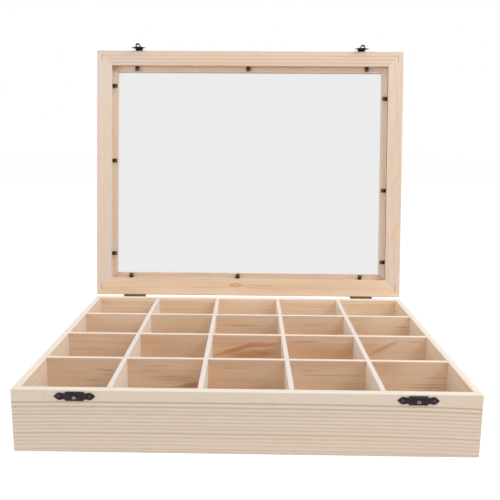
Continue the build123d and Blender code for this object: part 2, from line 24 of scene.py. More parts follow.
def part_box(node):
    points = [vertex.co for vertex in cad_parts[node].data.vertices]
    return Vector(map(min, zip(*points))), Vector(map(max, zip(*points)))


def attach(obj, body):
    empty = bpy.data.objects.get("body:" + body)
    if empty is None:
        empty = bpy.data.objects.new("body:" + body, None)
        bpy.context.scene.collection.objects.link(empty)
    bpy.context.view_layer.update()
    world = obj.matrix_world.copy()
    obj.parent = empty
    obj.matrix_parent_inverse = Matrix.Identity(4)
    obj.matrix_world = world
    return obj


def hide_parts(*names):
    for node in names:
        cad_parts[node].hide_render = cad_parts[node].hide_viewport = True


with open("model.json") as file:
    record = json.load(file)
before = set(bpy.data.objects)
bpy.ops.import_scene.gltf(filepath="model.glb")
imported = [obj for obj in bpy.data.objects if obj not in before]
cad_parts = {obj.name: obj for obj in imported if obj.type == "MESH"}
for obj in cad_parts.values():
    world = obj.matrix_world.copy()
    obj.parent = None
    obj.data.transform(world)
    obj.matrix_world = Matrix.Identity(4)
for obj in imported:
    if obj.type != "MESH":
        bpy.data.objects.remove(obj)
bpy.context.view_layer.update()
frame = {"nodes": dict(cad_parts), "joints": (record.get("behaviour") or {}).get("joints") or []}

MM = 0.001

Colour = tuple[float, float, float]
Socket = bpy.types.NodeSocket
Feed = float | Sequence[float] | Socket
Place = tuple[Socket, Socket, Socket]
Grid = list[list[Vector]]
Path2 = list[tuple[float, float]]
Writer = Callable[[bmesh.types.BMesh], None]

log = logging.getLogger("specimen_box")


def tint(red: int, green: int, blue: int) -> Colour:
    """A colour as a screen shows it, turned into the linear values that shaders take.

    Args:
        red: Level of red, from 0 to 255.
        green: Level of green.
        blue: Level of blue.

    Returns:
        The linear red, green and blue.
    """
    parts = []
    for level in (red, green, blue):
        share = level / 255
        parts.append(share / 12.92 if share <= 0.04045 else ((share + 0.055) / 1.055) ** 2.4)
    return (parts[0], parts[1], parts[2])


# ---------------------------------------------------------------- where things are
@dataclass(frozen=True)
class Layout:
    """Sizes that several pieces share, in millimetres, for the shut box.

    Attributes:
        half_width: Half of the front wall's width, between its rounded mitres.
        half_depth: Half of the tray's depth.
        rim: Height of the tray's top edge.
        lid_face: Height of the lid's inner face while the lid is shut.
        hinge_y: Depth of the hinge line.
        hinge_z: Height of the hinge line.
        latch_y: Depth of the latch pins while the lid is shut.
        latch_z: Height of the latch pins while the lid is shut.
        hinge_x: Distance of each hinge's middle from the middle line.
        latch_x: Distance of each latch's middle from the middle line.
        open_angle: How far the lid stands open, in degrees.
        left_lift: How far the left tongue is swung out, in degrees.
        right_lift: How far the right tongue is swung out, in degrees.
    """

    half_width: float
    half_depth: float
    rim: float
    lid_face: float
    hinge_y: float
    hinge_z: float
    latch_y: float
    latch_z: float
    hinge_x: float = 149.3
    latch_x: float = 145.2
    open_angle: float = 99.0
    left_lift: float = 15.0
    right_lift: float = 11.0

    @classmethod
    def from_frame(cls) -> "Layout":
        """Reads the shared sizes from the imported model.

        Returns:
            The layout, with the hinge line taken from the lid's joint.
        """
        low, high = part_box("front_panel")
        hinge = next(joint for joint in frame["joints"] if joint["name"] == "lid_hinge")
        hinge_y = hinge["pos_m"][1] / MM
        hinge_z = hinge["pos_m"][2] / MM
        half_depth = -low.y / MM
        rim = high.z / MM
        lid_gap = 2 * (hinge_z - rim)
        pin_above_face = 3.0
        return cls(
            half_width=high.x / MM,
            half_depth=half_depth,
            rim=rim,
            lid_face=rim + lid_gap,
            hinge_y=hinge_y,
            hinge_z=hinge_z,
            latch_y=-hinge_y,
            latch_z=rim + lid_gap + pin_above_face,
        )


def turn_about_x(line_y: float, line_z: float, angle: float) -> Matrix:
    """A turn about a line along X.

    Args:
        line_y: Depth of the line in millimetres.
        line_z: Height of the line in millimetres.
        angle: Turn in degrees, by the right-hand rule.

    Returns:
        The turn as a matrix for points in metres.
    """
    centre = Matrix.Translation(Vector((0, line_y, line_z)) * MM)
    return centre @ Matrix.Rotation(math.radians(angle), 4, "X") @ centre.inverted()


LAYOUT = Layout.from_frame()


class Body(Enum):
    """The bodies that a piece can ride on."""

    BOX = "box"
    LID = "lid"
    LEFT_TONGUE = "left_tongue"
    RIGHT_TONGUE = "right_tongue"

    def turn(self) -> Matrix:
        """Where the body stands.

        Returns:
            The turn in metres that carries it there from the shut box.
        """
        if self is Body.BOX:
            return Matrix.Identity(4)
        opened = turn_about_x(LAYOUT.hinge_y, LAYOUT.hinge_z, -LAYOUT.open_angle)
        if self is Body.LID:
            return opened
        lift = LAYOUT.left_lift if self is Body.LEFT_TONGUE else LAYOUT.right_lift
        return opened @ turn_about_x(LAYOUT.latch_y, LAYOUT.latch_z, -lift)


class Side(Enum):
    """The two sides of the box, as the signs of X."""

    LEFT = -1
    RIGHT = 1

    @property
    def label(self) -> str:
        """The side as nodes and pieces are named."""
        return self.name.lower()

    @property
    def tongue(self) -> Body:
        """The body of this side's tongue."""
        return Body.LEFT_TONGUE if self is Side.LEFT else Body.RIGHT_TONGUE


@dataclass(frozen=True)
class Opening:
    """The lid's rebated opening, in millimetres of the shut box.

    Attributes:
        stile: Width of a stile at the lid's face.
        front_rail: Width of the front rail there.
        back_rail: Width of the back rail there.
        wall: Distance of a stile's rebate wall from the middle line.
        recess: Distance of the pane from the lid's face.
        ledge: Distance of the ledge behind the pane from the lid's face.
    """

    stile: float = 19.4
    front_rail: float = 19.0
    back_rail: float = 22.2
    wall: float = 180.6
    recess: float = 5.0
    ledge: float = 7.0

    @property
    def side(self) -> float:
        """Half of the width left between the stiles, a hair inside their rebate walls."""
        return LAYOUT.half_width - self.stile

    @property
    def front(self) -> float:
        """Depth of the front rail's rebate wall."""
        return self.front_rail - LAYOUT.half_depth

    @property
    def back(self) -> float:
        """Depth of the back rail's rebate wall."""
        return LAYOUT.half_depth - self.back_rail

    @property
    def glass(self) -> float:
        """Height of the pane's inner face."""
        return LAYOUT.lid_face + self.recess


OPENING = Opening()


# ---------------------------------------------------------------- writing materials
class Graph:
    """Writes the nodes of a material or of the surroundings, with a short call for each kind."""

    def __init__(self, owner: bpy.types.Material | bpy.types.World) -> None:
        """Starts with no nodes.

        Args:
            owner: What the nodes belong to.
        """
        owner.use_nodes = True
        self.owner = owner
        self.tree = owner.node_tree
        self.tree.nodes.clear()

    def node(self, kind: str, feeds: dict[int | str, Feed], **settings: object) -> bpy.types.Node:
        """Adds a node.

        Args:
            kind: The node's type name.
            feeds: What goes into its inputs, by index or name.
            **settings: The node's own options.

        Returns:
            The new node.
        """
        made = self.tree.nodes.new(kind)
        for option, value in settings.items():
            setattr(made, option, value)
        for key, feed in feeds.items():
            if isinstance(feed, bpy.types.NodeSocket):
                self.tree.links.new(feed, made.inputs[key])
            else:
                made.inputs[key].default_value = feed
        return made

    def math(self, operation: str, first: Feed, second: Feed = 0.0) -> Socket:
        """One arithmetic step on two numbers."""
        return self.node("ShaderNodeMath", {0: first, 1: second}, operation=operation).outputs[0]

    def total(self, *terms: Feed) -> Socket:
        """The sum of several numbers."""
        return reduce(lambda result, term: self.math("ADD", result, term), terms)

    def minus(self, first: Feed, second: Feed) -> Socket:
        """The first number less the second."""
        return self.math("SUBTRACT", first, second)

    def times(self, first: Feed, second: Feed) -> Socket:
        """The product of two numbers."""
        return self.math("MULTIPLY", first, second)

    def ease(self, value: Feed, start: float, end: float, low: float = 0.0, high: float = 1.0) -> Socket:
        """A smooth step of value, from low at start to high at end."""
        feeds = {0: value, 1: start, 2: end, 3: low, 4: high}
        return self.node("ShaderNodeMapRange", feeds, interpolation_type="SMOOTHSTEP").outputs[0]

    def mix(self, share: Feed, first: Feed, second: Feed, blend: str = "MIX") -> Socket:
        """Blends two colours.

        Args:
            share: How much of the second goes in, from 0 to 1.
            first: The colour underneath.
            second: The colour on top.
            blend: Name of the way they blend.

        Returns:
            The blended colour.
        """
        feeds = {0: share, 6: shade(first), 7: shade(second)}
        return self.node("ShaderNodeMix", feeds, data_type="RGBA", blend_type=blend).outputs[2]

    def vector(self, x: Feed, y: Feed, z: Feed) -> Socket:
        """A vector from three numbers."""
        return self.node("ShaderNodeCombineXYZ", {0: x, 1: y, 2: z}).outputs[0]

    def scaled(self, parts: Sequence[Feed], factors: Sequence[float]) -> Socket:
        """A vector from three numbers, each times its own factor."""
        return self.vector(*(self.times(part, factor) for part, factor in zip(parts, factors)))

    def split(self, vector: Socket) -> Place:
        """The three numbers of a vector."""
        outputs = self.node("ShaderNodeSeparateXYZ", {0: vector}).outputs
        return outputs[0], outputs[1], outputs[2]

    def noise(self, where: Feed, scale: float = 1.0, detail: float = 2.0, rough: float = 0.5) -> Socket:
        """Cloudy noise from 0 to 1 at a place."""
        feeds = {"Vector": where, "Scale": scale, "Detail": detail, "Roughness": rough}
        return self.node("ShaderNodeTexNoise", feeds).outputs[0]

    def place(self, on_lid: bool) -> Socket:
        """A point of the piece, in millimetres of the shut box.

        Args:
            on_lid: Whether the piece belongs to the lid and is turned back with it.

        Returns:
            The point as a vector.
        """
        at = self.node("ShaderNodeTexCoord", {}).outputs["Object"]
        if on_lid:
            feeds = {
                "Vector": at,
                "Center": (0.0, LAYOUT.hinge_y * MM, LAYOUT.hinge_z * MM),
                "Angle": math.radians(LAYOUT.open_angle),
            }
            at = self.node("ShaderNodeVectorRotate", feeds, rotation_type="X_AXIS").outputs[0]
        feeds = {0: at, "Scale": 1 / MM}
        return self.node("ShaderNodeVectorMath", feeds, operation="SCALE").outputs[0]

    def ramp(self, value: Feed, stops: Sequence[tuple[float, float]]) -> Socket:
        """A curve of grey through a few stops.

        Args:
            value: Where to read it, from 0 to 1.
            stops: Pairs of place and height, in rising order of place.

        Returns:
            The height at value.
        """
        made = self.node("ShaderNodeValToRGB", {0: value})
        elements = made.color_ramp.elements
        while len(elements) < len(stops):
            elements.new(1.0)
        for element, (at, level) in zip(elements, stops):
            element.position = at
            element.color = (level, level, level, 1.0)
        return made.outputs[0]

    def bump(self, height: Feed, strength: float, distance: float) -> Socket:
        """A surface normal that follows a height in metres."""
        feeds = {"Strength": strength, "Distance": distance, "Height": height}
        return self.node("ShaderNodeBump", feeds).outputs[0]

    def blend(self, share: Feed, first: bpy.types.Node, second: bpy.types.Node) -> bpy.types.Node:
        """Blends two shaders, with share from 0 to 1 as how much of the second shows."""
        return self.node("ShaderNodeMixShader", {0: share, 1: first.outputs[0], 2: second.outputs[0]})

    def finish(self, surface: bpy.types.Node) -> bpy.types.Material | bpy.types.World:
        """Wires the shader to the output.

        Args:
            surface: The shader.

        Returns:
            The finished material or surroundings.
        """
        kind = "World" if isinstance(self.owner, bpy.types.World) else "Material"
        self.node(f"ShaderNodeOutput{kind}", {"Surface": surface.outputs[0]})
        return self.owner


def shade(feed: Feed) -> Feed:
    """A colour with its alpha, or the socket as it is."""
    return feed if isinstance(feed, bpy.types.NodeSocket) else (feed[0], feed[1], feed[2], 1.0)


# ---------------------------------------------------------------- finishes
class Finish(Protocol):
    """What every finish offers."""

    def make(self) -> bpy.types.Material:
        """Writes the material."""


@cache
def material_of(finish: Finish) -> bpy.types.Material:
    """The material of a finish, written once for all the pieces that share it."""
    return finish.make()


class Grain(Enum):
    """Which way the wood runs: the axis along the grain, across the face, and into it."""

    WALL_X = (0, 2, 1)
    WALL_Y = (1, 2, 0)
    RAIL_X = (0, 1, 2)
    STILE_Y = (1, 0, 2)


@dataclass(frozen=True)
class Knot:
    """A knot in the face of a board.

    Attributes:
        along: Its place along the grain, in millimetres.
        across: Its place across the face, in millimetres.
        length: Its length along the grain.
        height: Its height across the face.
        push: How far it bends the rings round it.
    """

    along: float
    across: float
    length: float
    height: float
    push: float


@dataclass(frozen=True)
class Streak:
    """A warm, resinous streak that fades out at its ends.

    Attributes:
        along: Middle of the streak along the grain, in millimetres.
        across: Middle of the streak across the face.
        length: Half of its length.
        height: Half of its height.
        strength: How strongly it colours the wood.
        slope: How far it climbs across the face for each millimetre along.
        colour: Its own colour, where it isn't the board's warm one.
    """

    along: float
    across: float
    length: float
    height: float
    strength: float = 0.6
    slope: float = 0.0
    colour: Colour | None = None


@dataclass(frozen=True)
class RebateLightShade:
    """Painted light and shade on the step that holds the pane, with colours of its own for each side.

    Attributes:
        wall: Colour painted on its wall, standing for the light and shade there.
        ledge: Colour painted on the ledge the pane lies on, standing for the light and shade there.
        reach: Distance of the wall from the lid's middle line, in millimetres.
    """

    wall: Colour
    ledge: Colour
    reach: float

    def paint(self, graph: Graph, colour: Socket, across: Socket, into: Socket) -> Socket:
        """Paints light and shade onto the wall and the ledge, each a little past its edges.

        Args:
            graph: The material being written.
            colour: The wood's colour underneath.
            across: Place across the face.
            into: Place into the face.

        Returns:
            The colour with the rebate's painted light and shade in it.
        """
        face = LAYOUT.lid_face
        ledge = face + OPENING.ledge
        past_wall = (self.reach + 0.3, self.reach + 0.1)
        past_ledge = (ledge + 0.6, ledge + 0.3)
        face_edge = (face + 0.4, face + 0.7)
        ledge_edge = (ledge - 0.4, ledge - 0.2)
        inside = graph.ease(graph.math("ABSOLUTE", across), *past_wall)
        inside = graph.times(inside, graph.ease(into, *past_ledge))
        colour = graph.mix(graph.times(inside, graph.ease(into, *face_edge)), colour, self.wall)
        return graph.mix(graph.times(inside, graph.ease(into, *ledge_edge)), colour, self.ledge)


WANDER_SPAN = (150, 40)
RIPPLE_SPAN = (22, 9)
RIPPLE_HEIGHT = 0.9
PATCH_SPAN = 60
RAGGED_SPAN = (25, 2)
LINE_BELOW = (-1.5, -0.2)
LINE_ABOVE = (0.0, 0.8)
PLAIN_BLEND = 1.2
LATE_WOOD = ((0.0, 0.0), (0.5, 0.12), (0.8, 1.0), (0.9, 0.85), (1.0, 0.0))
FIBRE_GRAIN = (1 / 16, 1.5, 1.5)
DASH_GRAIN = (1 / 7, 1.1, 1.1)
CLOUD_GRAIN = (1 / 210, 1 / 26, 1 / 26)
SEAM_SOFTNESS = 0.2
KNOT_REACH = 2.2
KNOT_FADE = 0.37
KNOT_RING = tint(190, 124, 76)
KNOT_EYE = tint(232, 190, 150)
FIBRE_SHEEN = tint(255, 250, 244)


@dataclass(frozen=True)
class PineFinish:
    """Bare sanded pine, cut from a log whose rings run through the whole board.

    Attributes:
        name: Name of the material.
        grain: Which way the board was cut.
        pith: Where the log's centre lies across the face and into it, in millimetres.
        light: Colour of the early wood.
        dark: Colour of the late wood lines.
        warm: Colour of the resinous streaks.
        ring: Distance between rings.
        line: Strength of the late wood lines, from 0 to 1.
        wave: How far the rings wander.
        runout: How far the centre drifts for each millimetre along the grain.
        flush: Strength of the broad warm patches.
        plain_above: Height above which the board shows no rings, if any.
        grown: How much of the rings shows beside the single lines.
        lines: Single late wood lines, each with its place across the face and its strength.
        bow: How far those lines drop towards the ends.
        bow_middle: Where they run highest, along the grain.
        top_highlight_above: Height above which the top edge and top face get a painted highlight, if they do.
        edge: Colour of that painted highlight.
        rebate: Painted light and shade on the step that holds the pane, if the board has one.
        seed: Shifts the noise, so that no two boards are alike.
        on_lid: Whether the board belongs to the lid.
        knots: The knots in it.
        streaks: The single streaks in it.
    """

    name: str
    grain: Grain
    pith: tuple[float, float] = (-160.0, 70.0)
    light: Colour = tint(232, 211, 187)
    dark: Colour = tint(196, 160, 124)
    warm: Colour = tint(222, 174, 124)
    ring: float = 3.6
    line: float = 0.5
    wave: float = 1.2
    runout: float = 0.0
    flush: float = 0.3
    plain_above: float | None = None
    grown: float = 1.0
    lines: tuple[tuple[float, float], ...] = ()
    bow: float = 0.0
    bow_middle: float = 0.0
    top_highlight_above: float | None = None
    edge: Colour = tint(240, 229, 215)
    rebatelightshade: RebateLightShade | None = None
    seed: float = 0.0
    on_lid: bool = False
    knots: tuple[Knot, ...] = ()
    streaks: tuple[Streak, ...] = ()

    def make(self) -> bpy.types.Material:
        """Writes the material.

        Returns:
            The finished material.
        """
        graph = Graph(bpy.data.materials.new(self.name))
        place = graph.split(graph.place(self.on_lid))
        at = tuple(place[axis] for axis in self.grain.value)
        late, band = self.rings(graph, at)
        fibre = graph.noise(graph.scaled(at, FIBRE_GRAIN), detail=3.0, rough=0.6)
        colour = self.colour(graph, at, late, fibre)
        relief = graph.total(graph.times(late, 0.4), graph.times(fibre, 0.8), graph.times(band, 0.2))
        rough = graph.ease(fibre, 0.2, 0.8, 0.55, 0.7)
        feeds = {
            "Base Color": colour,
            "Roughness": rough,
            "Specular IOR Level": 0.3,
            "Normal": graph.bump(relief, 0.35, 0.0001),
        }
        return graph.finish(graph.node("ShaderNodeBsdfPrincipled", feeds))

    def rings(self, graph: Graph, at: Place) -> tuple[Socket, Socket]:
        """The growth rings where the face cuts them.

        Args:
            graph: The material being written.
            at: Place along the grain, across the face and into it.

        Returns:
            The darkness of the late wood, and a soft band that follows the rings.
        """
        along, across, into = at
        slow, quick = (
            graph.vector(graph.times(along, 1 / span[0]), graph.times(across, 1 / span[1]), self.seed + shift)
            for span, shift in ((WANDER_SPAN, 0.0), (RIPPLE_SPAN, 4.0))
        )
        wander = graph.times(graph.minus(graph.noise(slow), 0.5), 4 * self.wave)
        ripple = graph.times(graph.minus(graph.noise(quick), 0.5), RIPPLE_HEIGHT)
        drift = graph.times(along, self.runout)
        side = graph.minus(graph.minus(across, self.pith[0]), drift)
        deep = graph.minus(into, self.pith[1])
        squares = graph.total(graph.times(side, side), graph.times(deep, deep))
        radius = graph.total(graph.math("SQRT", squares), wander, ripple)
        for knot in self.knots:
            bend = graph.math("POWER", KNOT_FADE, spot(graph, at, knot, KNOT_REACH))
            above = graph.math("SIGN", graph.minus(across, knot.across))
            radius = graph.total(radius, graph.times(graph.times(bend, above), knot.push))
        uneven = graph.noise(graph.vector(graph.times(radius, 0.28 / self.ring), self.seed, 2.0), detail=1.0)
        turn = graph.total(graph.times(radius, 1 / self.ring), graph.times(uneven, 1.7))
        within = graph.math("FRACT", turn)
        number = graph.math("FLOOR", turn)
        pick = graph.node("ShaderNodeTexWhiteNoise", {"W": number}, noise_dimensions="1D").outputs[0]
        patchy = graph.noise(graph.vector(graph.times(along, 1 / PATCH_SPAN), number, self.seed), detail=1.0)
        late = graph.times(graph.ramp(within, LATE_WOOD), graph.ease(pick, 0.0, 1.0, 0.45, 1.0))
        late = graph.times(late, graph.ease(patchy, 0.3, 0.7, 0.6, 1.0))
        if self.plain_above is not None:
            seam = (self.plain_above - PLAIN_BLEND, self.plain_above)
            late = graph.times(late, graph.ease(across, *seam, 1.0, 0.06))
        late = graph.times(late, self.grown)
        reach = graph.times(graph.minus(along, self.bow_middle), 1 / LAYOUT.half_width)
        drop = graph.times(graph.math("POWER", graph.math("ABSOLUTE", reach), 4.0), self.bow)
        level = graph.total(across, graph.times(wander, 0.45), graph.times(ripple, 0.4), drop)
        for place, strength in self.lines:
            off = graph.minus(level, place)
            below = graph.ease(off, *LINE_BELOW, 0.0, strength)
            above = graph.ease(off, *LINE_ABOVE, 1.0, 0.0)
            late = graph.math("MAXIMUM", late, graph.times(below, above))
        return late, within

    def colour(self, graph: Graph, at: Place, late: Socket, fibre: Socket) -> Socket:
        """The wood's colour.

        Args:
            graph: The material being written.
            at: Place along the grain, across the face and into it.
            late: Darkness of the late wood.
            fibre: The fine fibres.

        Returns:
            The colour of the surface.
        """
        across, into = at[1:]
        shifted = {0: graph.scaled(at, CLOUD_GRAIN), 1: (self.seed, 3.1, 0.7)}
        cloud = graph.noise(graph.node("ShaderNodeVectorMath", shifted).outputs[0])
        colour = graph.mix(graph.ease(cloud, 0.35, 0.75, 0.0, self.flush), self.light, self.warm)
        # Painted light and shade on the rebate's wall and ledge.
        if self.rebatelightshade:
            colour = self.rebatelightshade.paint(graph, colour, across, into)
        colour = graph.mix(graph.times(late, self.line), colour, self.dark)
        for streak in self.streaks:
            colour = graph.mix(streak_share(graph, at, streak), colour, streak.colour or self.warm)
        for knot in self.knots:
            ring = spot(graph, at, knot)
            colour = graph.mix(graph.ease(ring, 1.5, 0.8, 0.0, 0.6), colour, KNOT_RING)
            colour = graph.mix(graph.ease(ring, 0.6, 0.15, 0.0, 0.85), colour, KNOT_EYE)
        colour = graph.mix(graph.ease(fibre, 0.35, 0.7, 0.0, 0.1), colour, FIBRE_SHEEN)
        dash = graph.noise(graph.scaled(at, DASH_GRAIN), detail=0.0)
        colour = graph.mix(graph.ease(dash, 0.7, 0.8, 0.0, 0.16), colour, self.dark)
        # Painted highlight on the top edge and top face, where the light from above falls.
        if self.top_highlight_above is not None:
            seam = (self.top_highlight_above - SEAM_SOFTNESS, self.top_highlight_above + SEAM_SOFTNESS)
            colour = graph.mix(graph.ease(across, *seam, 0.0, 0.85), colour, self.edge)
        return colour


def spot(graph: Graph, at: Place, mark: Knot | Streak, reach: float = 1.0, slope: float = 0.0) -> Socket:
    """Squared distance from the middle of a knot or a streak.

    Args:
        graph: The material being written.
        at: Place along the grain, across the face and into it.
        mark: The knot or the streak.
        reach: How many times its own size lies at a distance of 1.
        slope: How far it climbs across the face for each millimetre along.

    Returns:
        The squared distance.
    """
    along = graph.minus(at[0], mark.along)
    across = graph.minus(at[1], mark.across)
    if slope:
        across = graph.minus(across, graph.times(along, slope))
    x = graph.times(along, 1 / (mark.length * reach))
    y = graph.times(across, 1 / (mark.height * reach))
    return graph.total(graph.times(x, x), graph.times(y, y))


def streak_share(graph: Graph, at: Place, streak: Streak) -> Socket:
    """How much of a streak's colour shows at a place, with ragged edges.

    Args:
        graph: The material being written.
        at: Place along the grain, across the face and into it.
        streak: The streak.

    Returns:
        The share, from 0 to the streak's strength.
    """
    along, across = (graph.times(part, 1 / span) for part, span in zip(at, RAGGED_SPAN))
    ragged = graph.noise(graph.vector(along, across, 0.0))
    away = graph.total(spot(graph, at, streak, slope=streak.slope), graph.times(ragged, 0.8))
    return graph.ease(away, 1.5, 0.3, 0.0, streak.strength)


PATINA_CLOUD = 0.45
PATINA_GRIT = 5.0


@dataclass(frozen=True)
class WornFinish:
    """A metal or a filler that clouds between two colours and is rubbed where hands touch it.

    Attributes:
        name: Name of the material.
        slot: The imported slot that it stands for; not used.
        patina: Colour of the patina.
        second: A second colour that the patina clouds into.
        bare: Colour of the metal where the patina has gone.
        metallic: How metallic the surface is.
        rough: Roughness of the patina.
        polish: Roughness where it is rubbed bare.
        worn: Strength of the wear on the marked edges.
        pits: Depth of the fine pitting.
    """

    name: str
    slot: str
    patina: Colour
    second: Colour
    bare: Colour
    metallic: float = 0.9
    rough: float = 0.42
    polish: float = 0.25
    worn: float = 0.7
    pits: float = 0.25

    def make(self) -> bpy.types.Material:
        """Writes the material, which reads the meshes' wear attribute.

        Returns:
            The finished material.
        """
        graph = Graph(bpy.data.materials.new(self.name))
        at = graph.place(False)
        cloud = graph.noise(at, PATINA_CLOUD, 3.0)
        grit = graph.noise(at, PATINA_GRIT, 3.0, 0.65)
        edge = graph.node("ShaderNodeAttribute", {}, attribute_name="wear").outputs["Fac"]
        rubbed = graph.times(graph.ease(grit, 0.3, 0.6), graph.ease(cloud, 0.3, 0.6, 0.4, 1.0))
        bare = graph.times(graph.times(edge, rubbed), self.worn)
        patina = graph.mix(graph.ease(cloud, 0.35, 0.65), self.patina, self.second)
        feeds = {
            "Base Color": graph.mix(bare, patina, self.bare),
            "Metallic": self.metallic,
            "Roughness": graph.ease(bare, 0.0, 1.0, self.rough, self.polish),
            "Normal": graph.bump(grit, self.pits, 0.00004),
        }
        return graph.finish(graph.node("ShaderNodeBsdfPrincipled", feeds))


@dataclass(frozen=True)
class GlassFinish:
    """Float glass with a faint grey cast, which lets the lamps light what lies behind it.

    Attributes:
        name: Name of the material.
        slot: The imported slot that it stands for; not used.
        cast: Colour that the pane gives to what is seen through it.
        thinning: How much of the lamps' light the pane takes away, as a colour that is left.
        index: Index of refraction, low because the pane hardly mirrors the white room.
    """

    name: str = "float_glass"
    slot: str = "pane"
    cast: Colour = tint(236, 236, 236)
    thinning: Colour = (0.99, 0.99, 0.99)
    index: float = 1.22

    def make(self) -> bpy.types.Material:
        """Writes the material.

        Returns:
            The finished material.
        """
        graph = Graph(bpy.data.materials.new(self.name))
        at = graph.place(True)
        smear = graph.noise(at, 0.02, 2.0)
        drawn = graph.noise(at, 0.006, 1.0)
        feeds = {
            "Base Color": shade(self.cast),
            "Roughness": graph.ease(smear, 0.4, 0.7, 0.0, 0.015),
            "Transmission Weight": 1.0,
            "IOR": self.index,
            "Normal": graph.bump(drawn, 0.05, 0.0002),
        }
        glass = graph.node("ShaderNodeBsdfPrincipled", feeds)
        clear = graph.node("ShaderNodeBsdfTransparent", {"Color": shade(self.thinning)})
        shadow = graph.node("ShaderNodeLightPath", {}).outputs["Is Shadow Ray"]
        return graph.finish(graph.blend(shadow, glass, clear))


@dataclass(frozen=True)
class FloorFinish:
    """A plain white table that keeps a faint shadow.

    Attributes:
        name: Name of the material.
        lit: How much of the table's brightness comes from the lamps.
        glow: How much of it is its own, so that it meets the white background. Behind the
            glass and in reflections the table is as white as the background.
        bounce: How much light it throws back at the box.
    """

    name: str = "white_table"
    lit: float = 0.3
    glow: float = 0.84
    bounce: float = 0.95

    def make(self) -> bpy.types.Material:
        """Writes the material.

        Returns:
            The finished material.
        """
        graph = Graph(bpy.data.materials.new(self.name))
        plain = graph.node("ShaderNodeBsdfDiffuse", {"Color": shade((self.bounce,) * 3)})
        soft = graph.node("ShaderNodeBsdfDiffuse", {"Color": shade((self.lit,) * 3)})
        own = graph.node("ShaderNodeEmission", {"Strength": self.glow})
        seen = graph.node("ShaderNodeAddShader", {0: soft.outputs[0], 1: own.outputs[0]})
        white = graph.node("ShaderNodeEmission", {"Strength": 1.0})
        rays = graph.node("ShaderNodeLightPath", {}).outputs
        clear = graph.math("MAXIMUM", rays["Is Glossy Ray"], rays["Is Transmission Ray"])
        table = graph.blend(rays["Is Camera Ray"], plain, seen)
        return graph.finish(graph.blend(clear, table, white))


BLACK_BRONZE = WornFinish(
    "black_bronze", "black_bronze", tint(36, 28, 26), tint(58, 50, 56), tint(92, 78, 70),
    metallic=0.7, rough=0.45, worn=0.2,
)
RUBBED_NAILS = WornFinish(
    "rubbed_nails", "black_bronze", tint(42, 35, 34), tint(54, 46, 46), tint(116, 102, 94),
    metallic=0.8, rough=0.4, worn=0.9,
)
AGED_BRASS = WornFinish("aged_brass", "aged_brass", tint(122, 92, 66), tint(98, 74, 56), tint(186, 152, 108))
SCREW_BRASS = WornFinish(
    "screw_brass", "aged_brass", tint(158, 128, 92), tint(128, 100, 72), tint(214, 186, 138)
)
# The hook's near-white bare colour, worn hard on its lower curl, is partly rubbed brass and partly a painted
# highlight.
HOOK_BRASS_WITH_HIGHLIGHT = WornFinish(
    "bright_hook", "bright_hook", tint(160, 148, 146), tint(182, 170, 158), tint(252, 240, 212),
    metallic=1.0, rough=0.28, polish=0.18, worn=4.0,
)
BLACK_TABS = WornFinish(
    "black_tabs", "black_tabs", tint(30, 14, 8), tint(38, 21, 14), tint(128, 104, 92),
    metallic=0.5, rough=0.55, worn=0.7,
)
PLAIN_STEEL = WornFinish(
    "plain_steel", "plain_steel", tint(128, 118, 110), tint(112, 98, 88), tint(190, 186, 180), metallic=0.8
)
WOOD_FILLER = WornFinish(
    "wood_filler", "plain_steel", tint(206, 182, 162), tint(196, 168, 146), tint(214, 190, 168),
    metallic=0.0, rough=0.8,
)


# ---------------------------------------------------------------- meshes
SAME_POINT = 1e-5
SHARP_ABOVE = 35
BEVEL_ABOVE = 38


def add_object(name: str, mesh: bpy.types.Mesh, finish: Finish) -> bpy.types.Object:
    """Puts a mesh into the scene.

    Args:
        name: Name of the piece.
        mesh: Its mesh, in metres.
        finish: Its finish.

    Returns:
        The new object.
    """
    mesh.materials.append(material_of(finish))
    made = bpy.data.objects.new(name, mesh)
    bpy.context.scene.collection.objects.link(made)
    return made


def add_bevel(piece: bpy.types.Object, width: float, segments: int = 2) -> None:
    """Rounds the sharp edges of a piece.

    Args:
        piece: The piece.
        width: Width of the rounding in millimetres.
        segments: Number of steps in it.
    """
    bevel = piece.modifiers.new("rounded_edges", "BEVEL")
    bevel.width = width * MM
    bevel.segments = segments
    bevel.limit_method = "ANGLE"
    bevel.angle_limit = math.radians(BEVEL_ABOVE)


def arc(centre: tuple[float, float], radius: float, start: float, end: float, steps: int) -> Path2:
    """Points on an arc, with both ends.

    Args:
        centre: Centre of the arc.
        radius: Its radius.
        start: Angle of its first point, in degrees.
        end: Angle of its last point.
        steps: Number of steps between them.

    Returns:
        The points in order.
    """
    points = []
    for index in range(steps + 1):
        angle = math.radians(start + (end - start) * index / steps)
        points.append((centre[0] + radius * math.cos(angle), centre[1] + radius * math.sin(angle)))
    return points


def spread(start: float, end: float, steps: int) -> list[float]:
    """Evenly spaced values, with both ends."""
    return [start + (end - start) * index / steps for index in range(steps + 1)]


def normals_of(path: Path2) -> list[tuple[float, float]]:
    """Unit normals of a path, to the left of the way it runs.

    Args:
        path: The path's points.

    Returns:
        One normal for each point.
    """
    found = []
    for index in range(len(path)):
        back = path[max(index - 1, 0)]
        ahead = path[min(index + 1, len(path) - 1)]
        run = math.hypot(ahead[0] - back[0], ahead[1] - back[1])
        found.append((-(ahead[1] - back[1]) / run, (ahead[0] - back[0]) / run))
    return found


def all_metal(row: int, column: int) -> bool:
    """Keeps every cell of a sheet."""
    return True


def unworn(row: int, column: int) -> float:
    """Leaves every point of a sheet as it was finished."""
    return 0.0


